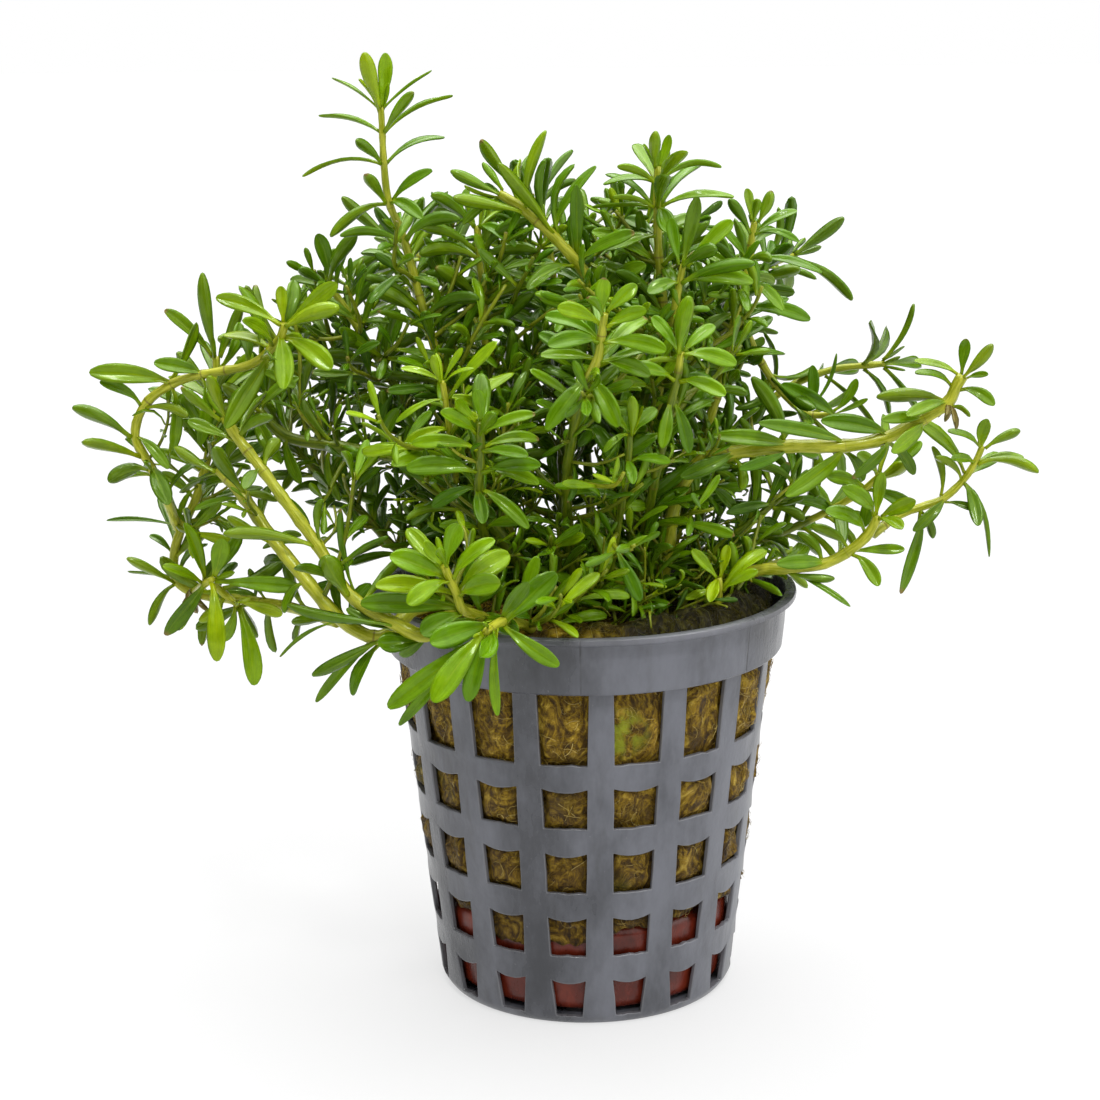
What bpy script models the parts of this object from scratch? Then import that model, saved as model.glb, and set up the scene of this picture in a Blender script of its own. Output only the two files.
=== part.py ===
"""A rotala in its net pot: a slotted plastic pot, a clay ring, a plug of rockwool and the shoots.

Everything is drawn in millimetres, with the pot's axis on Z and its foot on Z = 0, and scaled to
metres when the meshes are made. A stem's points and the leaves that it carries are placed as they
are seen from EYE: (across, up) in the upright plane through the pot's axis, and then so many
millimetres nearer to the eye.
"""

import math
import random
from collections import namedtuple
from itertools import permutations

import bmesh
import bpy
from mathutils import Matrix, Vector
from mathutils.bvhtree import BVHTree

MM = 0.001
GAP = 0.3  # left between neighbouring pieces

# The pot
LIP_DIAMETER = 55.0
POT_HEIGHT = 53.1
COLUMNS = 16
FIRST_COLUMN = -0.128  # radians round from the front, towards +X
WALL = 0.9
WALL_RADIUS_FOOT = 19.3
WALL_RADIUS_COLLAR = 24.45
COLLAR_FOOT = 45.6
FOOT_RADIUS = 18.2
# Every row of windows: lower edge, upper edge, and half its width at each, in radians
WINDOW_ROWS = (
    (1.3, 6.4, 0.083, 0.110),
    (9.8, 15.2, 0.110, 0.117),
    (18.6, 24.1, 0.116, 0.121),
    (27.4, 32.8, 0.121, 0.125),
    (35.9, COLLAR_FOOT, 0.124, 0.132),
)
# The collar and the lip over the windows, up the outside and down the inside: radius, height
COLLAR_PROFILE = (
    (25.65, COLLAR_FOOT),
    (26.2, 51.8),
    (LIP_DIAMETER / 2, 52.2),
    (27.4, POT_HEIGHT),
    (25.9, POT_HEIGHT),
    (24.5, 46.2),
)
FLOOR = 1.2
FLOOR_SLOTS = 8
SLOT_REACH = (6.0, 14.5)

# The clay ring that weighs the pot down
RING_RADIUS_FOOT = 18.0
RING_RADIUS_TOP = 19.0
RING_HOLE_RADIUS = 11.2
RING_FOOT = 1.6
RING_TOP = 13.3

# The rockwool plug
PLUG_SIDES = 24
PLUG_TOP = 50.2
PLUG_FLAT_RADIUS = 19.6

# The plant
EYE = Vector((-4.4, -298.4, 127.6))
LEAF_WIDTH = 2.4
LEAF_DEPTH = 0.4
LEAF_WIDEST = 0.66  # share of its length
TIP_SHARE = 0.5  # how wide the blunt tip is against the widest place
POINTED_BELOW = 1.6  # narrower leaves end in a point
SEED = 11

Shoot = namedtuple("Shoot", "name start radii tone points")
Point = namedtuple("Point", "across up near leaves more")
LeafSpec = namedtuple("LeafSpec", "across up nearer width face")
Leaf = namedtuple("Leaf", "ring side base edge lift tip width face")
Section = namedtuple("Section", "middle across normal half depth")

BRIGHT, GREEN, DARK = "bright", "green", "dark"
TONES = {
    BRIGHT: (0.17, 0.36, 0.02),
    GREEN: (0.08, 0.22, 0.02),
    DARK: (0.03, 0.11, 0.015),
}


def at(across, up, near, *leaves, more=0):
    return Point(across, up, near, leaves, more)


def leaf(across, up, nearer=0.0, width=LEAF_WIDTH, face=0.6):
    """A leaf by its tip. face turns the blade to the eye, 1 shows it flat on. Below 0 its pale side shows."""
    return LeafSpec(across, up, nearer, width, face)


def root(x, y):
    return ("root", x, y)


def fork(parent, index):
    return ("fork", parent, index)


LEFT_SHOOTS = (
    Shoot("tall_left_shoot", root(-6, 2), (0.75, 0.42), GREEN, (
        at(-9.5, 60, 4), at(-14, 70, 3), at(-17.5, 80, 2, more=2),
        at(-20, 88.5, 1, leaf(-27, 92, 3), leaf(-13, 90.5, 4), more=1),
        at(-22.4, 98, 0, leaf(-30.5, 98.6, 2, 2.0), leaf(-15.2, 100.5, 3, 2.2), more=1),
        at(-24.2, 102.7, 0, leaf(-31.7, 98.4, 1, 1.8), leaf(-27, 106.3, 3, 1.9), leaf(-18.7, 106.6, 2, 1.9),
           leaf(-20, 100.6, 5, 2.0)),
        at(-24.7, 107.5, 0, leaf(-35, 106, -2, 1.5, 0), leaf(-17, 110.7, -2, 1.6, 0.2),
           leaf(-28.2, 110.4, 3, 1.6)),
        at(-24.8, 111.4, 0, leaf(-32.7, 113.5, -2, 1.4, 0), leaf(-15.9, 115.8, -2, 1.4, 0),
           leaf(-20.8, 116.3, 3, 1.7)),
        at(-24.9, 114.4, 0, leaf(-30.9, 118.1, -2, 1.1, 0), leaf(-18.5, 118.9, -2, 1.2, 0),
           leaf(-26.8, 121.1, 1.5, 2.3, 0.9), leaf(-24.2, 121, -1, 2.2, 0.9)),
    )),
    Shoot("front_left_stem", root(-12.5, -11.5), (0.95, 0.65), GREEN, (
        at(-15.2, 49.6, 16.5), at(-18.2, 48.6, 22), at(-20.8, 46.4, 26, leaf(-27, 45.6, 1, 3.0)),
        at(-24.8, 48.1, 25.5, leaf(-31, 50.2, -2, 1.8, -0.6)),
        at(-30.4, 51.9, 22, leaf(-38.7, 50.7, 1, 1.7), leaf(-33.6, 57.3, 2, 3.2),
           leaf(-31.4, 63.5, -2, 1.3)),
        at(-34.6, 58.8, 19, leaf(-46.7, 60.3, 2, 2.0), leaf(-33.8, 64.8, 1, 1.5)),
        at(-38.8, 65, 17, leaf(-35.4, 61, -2, 1.4), leaf(-41.7, 58.3, -3, 1.0)),
        at(-41.5, 69, 15.5, leaf(-43.7, 66.2, 3, 2.0), leaf(-38.9, 72.6, -2, 2.2), more=1),
        at(-44.4, 73, 14, leaf(-50.6, 75.2, -1, 2.0), leaf(-39.6, 75.6, 1, 2.0), more=1),
        at(-45.8, 75.6, 13, leaf(-51.2, 79.6, 0, 2.0), leaf(-42.6, 79.4, 1, 2.2), leaf(-47.6, 81, 2, 1.8)),
    )),
    Shoot("lower_left_stem", root(-16, -6.5), (0.95, 0.75), GREEN, (
        at(-18.4, 50.4, 15), at(-22.2, 50, 20),
        at(-26.8, 46.2, 22.5, leaf(-35.8, 41.1, 2, 2.0), leaf(-30.6, 38.3, 1, 2.2),
           leaf(-35.4, 37.4, -1, 1.5)),
        at(-32, 48.9, 21.5, leaf(-40, 43.7, 1, 1.1, 0.3), leaf(-39.2, 49.6, -1, 1.6, -0.5)),
        at(-36.2, 54.1, 19.5, leaf(-32.6, 53.9, 2, 1.4), leaf(-36.5, 60, -3, 1.2)),
        at(-40.3, 59.6, 16.5, leaf(-46, 62.6, 0, 1.9)),
        at(-44, 65.4, 13.5, leaf(-39.4, 64.6, 1, 1.6), leaf(-50.3, 63.5, -2, 1.4), more=1),
        at(-46.8, 68.8, 11.5, leaf(-52.4, 71.8, -2, 1.8), leaf(-43, 74.3, -3, 2.2), more=1),
    )),
    Shoot("left_side_stem", fork("lower_left_stem", 4), (0.78, 0.55), GREEN, (
        at(-38.4, 50.4, 17), at(-44.6, 51.4, 12.5), at(-49.8, 52.2, 10.2, leaf(-47.4, 57.2, -2, 1.6)),
        at(-52.9, 54, 9.6, leaf(-56.8, 48.1, 2, 1.5), leaf(-59.3, 57.2, 1, 1.6)),
        at(-53.1, 57.6, 9.6, leaf(-56.2, 60.2, -2, 1.2), leaf(-48.8, 60.4, 1, 1.9)),
        at(-51.9, 61.3, 9.6, leaf(-61.7, 62.2, -1, 0.9, 0.2), leaf(-48, 64.4, 2, 1.6)),
        at(-50, 64.8, 9.6, leaf(-54.4, 68.4, -2, 1.6), more=1),
        at(-48.7, 68.8, 9.6, leaf(-54.8, 71.4, 1, 1.9), leaf(-44.6, 72.4, -3, 2.0)),
        at(-47.6, 73, 9.3, leaf(-52.4, 76.8, -2, 1.9), leaf(-42.6, 76.4, -2, 2.0)),
        at(-46.9, 78.4, 8.6, leaf(-51.6, 84, -1, 2.0), leaf(-42, 83.8, -1, 2.2), more=1),
        at(-46.6, 83.4, 7.6, leaf(-52.9, 89.4, 1, 2.2), leaf(-47.9, 94.1, 0, 2.0, 0.8),
           leaf(-43.2, 90, 0, 2.0)),
    )),
    Shoot("left_arch_stem", fork("left_side_stem", 6), (0.7, 0.55), BRIGHT, (
        at(-53.8, 65, 7.6), at(-55.6, 69.2, 7.5, leaf(-61.2, 67.3, 2, 2.5), leaf(-53.5, 64.2, 4, 2.7)),
        at(-57.4, 73.2, 7, leaf(-65.3, 77, 1, 2.3), leaf(-53.3, 68.9, 1, 1.8)),
        at(-56, 77.2, 7, leaf(-61.6, 80.3, 2, 1.7), leaf(-50.4, 75.7, 3, 1.7)),
        at(-52.4, 79.9, 7.5, leaf(-62.9, 81.5, 2, 2.9, 0.8), leaf(-52.7, 71.2, 2, 1.8), more=1),
        at(-48.4, 81.1, 8.5, leaf(-49.2, 71.9, 3, 2.0, 0.8), leaf(-54.6, 82.7, 0, 2.2)),
        at(-42.6, 82.2, 10.5, leaf(-36.6, 79.4, -1, 1.7), leaf(-43.2, 87, -3, 2.0)),
        at(-39.7, 84.2, 12, leaf(-45.9, 74.1, 3, 2.8, 0.8), leaf(-45.6, 86.2, -2, 2.3, 0.3)),
        at(-38.2, 86, 13, leaf(-38.3, 79.1, 5, 2.9, 0.9), leaf(-32, 81.6, 3, 3.0, 0.8),
           leaf(-35.6, 84.2, -4, 2.0)),
        at(-37.8, 87.5, 13.5, leaf(-46.4, 90.9, -1, 2.3), leaf(-38.1, 92.3, -1, 1.7, 0.8),
           leaf(-31, 92.6, 0, 2.5, 0.8), leaf(-30.7, 89.5, 3, 2.4, 0.8)),
    )),
    Shoot("lower_left_rosette", fork("left_side_stem", 3), (0.6, 0.45), BRIGHT, (
        at(-49.6, 53.4, 13.2), at(-49, 53.9, 14.6, leaf(-54.8, 46.7, 0, 2.4), leaf(-51.6, 61.8, 2, 2.1),
                              leaf(-37.6, 51.4, -2, 2.3)),
        at(-48.3, 54.2, 16, leaf(-48.2, 43.1, 4, 2.7, 0.9), leaf(-37, 53.1, 3, 2.4, 0.8),
           leaf(-46.8, 59.6, 1, 2.7, 0.8)),
    )),
    Shoot("lower_left_side_shoot", fork("lower_left_rosette", 2), (0.55, 0.45), BRIGHT, (
        at(-46.4, 51.9, 12.5), at(-45.2, 50.8, 14, leaf(-43.4, 39.8, 3, 2.7, 0.8),
           leaf(-39.4, 49.4, 2, 2.2),
                                  leaf(-47.4, 45.8, -1, 1.8), leaf(-50.3, 48.6, -1, 2.0)),
    )),
    Shoot("back_left_stem", root(-14, 0), (0.7, 0.5), DARK, (
        at(-19.5, 55.5, -1), at(-24.4, 58.2, -2), at(-27.5, 61.6, -3, leaf(-25, 66.6, -2, 1.6), more=1),
        at(-31, 65.6, -4, leaf(-25.6, 63.8, -2, 1.6), leaf(-34.8, 61, 2, 1.5), more=1),
        at(-35.4, 69.5, -5, leaf(-30.4, 73.4, 1, 1.8), leaf(-38.7, 66, 1, 1.6), more=1),
        at(-38.4, 73.6, -5, leaf(-43.6, 72.8, -1, 2.2), leaf(-33.6, 77.6, 1, 2.2), more=1),
        at(-40.6, 77.6, -5, leaf(-46.6, 78.6, 0, 2.2), leaf(-37, 84, 0, 2.2),
           leaf(-42.6, 84.2, -1, 2.2), more=1),
    )),
    Shoot("left_middle_stem", root(-4, -7), (0.9, 0.7), DARK, (
        at(-8.4, 56, 8), at(-14, 64, 8), at(-20, 68.9, 7), at(-26, 70.6, 6,
           leaf(-23.6, 76.4, 2, 2.2), more=1),
        at(-32.6, 71.8, 5, leaf(-31.4, 64.4, 2, 1.7), leaf(-35.8, 77.8, -1, 2.2), more=1),
        at(-38, 73, 4, leaf(-36.4, 66.8, 3, 1.9), leaf(-43, 70.5, 0, 2.0), more=1),
        at(-41.6, 76.4, 4, leaf(-38.9, 69.6, 4, 2.3, 0.8), leaf(-36.2, 80.6, 0, 2.2),
           leaf(-46, 79.8, 1, 2.2)),
    )),
    Shoot("upper_left_shoot", root(-10, 5), (0.75, 0.5), DARK, (
        at(-15, 62, -3), at(-20.5, 73, -4, more=2), at(-25.5, 82, -5, leaf(-33, 83.4, 2),
           leaf(-20, 86, 2), more=1),
        at(-29.6, 88.6, -5, leaf(-36.8, 89.4, 1, 2.2), leaf(-24.6, 93.4, 1, 2.2), more=1),
        at(-32.2, 92.8, -5, leaf(-33.3, 98.8, 0, 2.3, 0.8), leaf(-28.3, 98.7, 3, 2.1, 0.8),
           leaf(-35.7, 94.6, 3, 1.8), leaf(-30.6, 96.8, -3, 2.4, -0.8)),
    )),
)

CENTRE_SHOOTS = (
    Shoot("centre_stem", root(-8, 8), (0.75, 0.5), GREEN, (
        at(-10.6, 60, 1), at(-11.5, 68, 3), at(-11.9, 76, 4), at(-12.3, 83.6, 4, leaf(-18.5, 81, 2, 2.2)),
        at(-12.5, 90, 3, leaf(-18.6, 94.5, 3, 2.2), leaf(-6, 92.4, 3, 2.2), more=1),
        at(-12.9, 95.6, 2, leaf(-20.6, 96.2, 3, 2.4), leaf(-5.6, 96.4, 2, 2.2), more=1),
        at(-13.2, 99.6, 1, leaf(-18.9, 103.6, 2, 2.4), leaf(-8.4, 97, 5, 2.0), more=2),
    )),
    Shoot("arching_top_shoot", root(1, 4), (0.9, 0.6), GREEN, (
        at(2.6, 60, -2), at(4, 72, -2), at(3.8, 84, -1, more=2),
        at(1.8, 91, 1, leaf(8, 94.6, 2), leaf(-4.6, 88.6, 3), more=1),
        at(-0.8, 95, 3, leaf(-0.7, 104.6, 2, 2.0, 0.9), leaf(6.6, 98.6, 3, 2.3), leaf(-7, 91.6, 4, 2.2)),
        at(-4, 98.6, 4, leaf(-10.5, 107.4, 3, 2.1, 0.8), leaf(1.8, 107, -2, 2.0)),
        at(-7.4, 101.6, 4, leaf(-16.2, 103.2, 2, 2.0, 0.8), leaf(-4.4, 111.4, 0, 1.7, 0.8), more=1),
        at(-10.3, 103.6, 3, leaf(-16.4, 106.5, 0, 1.7), leaf(-12.4, 107.4, -2, 1.5, -0.6),
           leaf(-15, 99.8, 1, 1.6)),
    )),
    Shoot("bright_centre_shoot", root(-1, -9), (0.8, 0.5), BRIGHT, (
        at(-1.8, 58, 12), at(-2.2, 66, 15), at(-1.2, 74, 19),
        at(0.7, 80.1, 22, leaf(-4.8, 73.5, 3, 2.5, 0.8), leaf(4.5, 73.8, 4, 2.7, 0.9), more=1),
        at(1.9, 82.6, 23, leaf(-5.4, 83.2, 0, 2.0, 0.5), leaf(8.6, 80.4, 0, 2.2), more=1),
        at(2.3, 85, 23.5, leaf(-4.4, 84.4, 3, 2.5, 0.8), leaf(10.6, 83.6, 2, 2.5, 0.8),
           leaf(-4.8, 88.2, -3, 2.2)),
        at(2.6, 87, 24, leaf(-3.2, 89.2, 1, 2.3, 0.7), leaf(8.1, 88.8, 1, 2.0, 0.7)),
        at(2.8, 88.4, 24.5, leaf(2.8, 92.9, 0, 2.3, 0.8), leaf(6.9, 92, -1, 2.0, 0.7),
           leaf(0.6, 90.6, 3, 1.5)),
    )),
    Shoot("centre_rosette_shoot", root(-9, -8), (0.75, 0.5), BRIGHT, (
        at(-12, 56, 12), at(-13.3, 62, 16.5),
        at(-13.5, 66, 19, leaf(-13, 61.3, 4, 2.2, 0.9), leaf(-7.1, 60.6, 3, 2.1, 0.8),
           leaf(-19.6, 63.6, 0, 2.0)),
        at(-13.3, 68.4, 20, leaf(-22.8, 68.6, 1, 2.8, 0.8), leaf(-5.7, 66.5, 1, 2.0, 0.7),
           leaf(-5.5, 68.9, 3, 2.2, 0.7)),
        at(-13.2, 71.2, 20.5, leaf(-22, 71.9, 1, 2.1, 0.7), leaf(-7.1, 70.2, 3, 2.0),
           leaf(-5.6, 72.3, -2, 2.0)),
        at(-13.2, 73.3, 21, leaf(-18.2, 76, 3, 2.1, 0.8), leaf(-6.1, 75.6, 1, 1.8, 0.7),
           leaf(-11.2, 75.8, 4, 1.9, 0.7)),
        at(-13.3, 74.6, 21.5, leaf(-13.6, 78.8, 0, 1.9, 0.8), leaf(-16.2, 77.5, 1, 1.7, 0.7)),
    )),
    Shoot("slender_yellow_shoot", root(-12, -4), (0.55, 0.38), BRIGHT, (
        at(-14.6, 58, 6), at(-16.4, 67, 10), at(-17.2, 74, 12.5, leaf(-23.2, 71.1, 2, 2.0, 0.7)),
        at(-17.6, 77.8, 14, leaf(-24, 74.7, 1, 1.0, 0.4), leaf(-13.2, 76.4, -2, 1.6)),
        at(-17.9, 80, 14.5, leaf(-23.2, 81.7, 0, 1.2, 0.7), leaf(-19, 83.4, 1, 1.3, 0.8),
           leaf(-15.3, 84.2, 0, 1.0, 0.6),
           leaf(-13.9, 81.6, 2, 0.9, 0.4)),
    )),
    Shoot("front_cluster_shoot", root(-8.5, -16), (0.75, 0.5), BRIGHT, (
        at(-13.4, 48.9, 22.4), at(-15.8, 49.8, 26.6, leaf(-21.3, 46.6, 3, 3.2, 0.8),
           leaf(-29.2, 50.8, -3, 3.0, 0.7)),
        at(-16.6, 52, 27.5, leaf(-27.2, 53.2, 0, 2.6, 0.7), leaf(-10.9, 53.4, 3, 3.2, 0.7),
           leaf(-9.6, 57.2, -3, 3.4, 0.7)),
        at(-17.5, 54.1, 28.3, leaf(-25.2, 57.1, 1, 3.1, 0.8), leaf(-11.5, 59.2, 0, 2.3, 0.6),
           leaf(-23, 50.6, 4, 2.6, 0.8)),
        at(-18.2, 55.8, 29, leaf(-16.2, 61.3, -1, 2.7, 0.8), leaf(-20.6, 59, 1, 1.7, 0.8),
           leaf(-18.9, 58.2, 3, 1.4)),
    )),
    Shoot("front_hanging_shoot", root(-4.5, -17), (0.75, 0.5), BRIGHT, (
        at(-9, 48.2, 26.2), at(-10.7, 48.2, 30, leaf(-3.5, 54.6, -2, 3.3, 0.8),
           leaf(-7.2, 53.4, 3, 2.1, -0.8),
                               leaf(-3.3, 42.1, 2, 2.3, 0.8)),
        at(-11.8, 47.7, 32, leaf(-11.5, 35.3, 1, 1.5, 0.6), leaf(-24.6, 34.1, -1, 1.6, 0.6),
           leaf(-20.2, 45.4, 3, 3.3, 0.8)),
        at(-12.4, 47.2, 33.1, leaf(-26, 36.6, 2, 3.0, 0.8), leaf(-13.6, 43.6, 7, 2.6, 0.8)),
        at(-12.9, 46.8, 34.1, leaf(-15.4, 37.3, 2, 2.5, 0.8), leaf(-20, 37.3, 3, 3.3, 0.8)),
    )),
)

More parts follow.
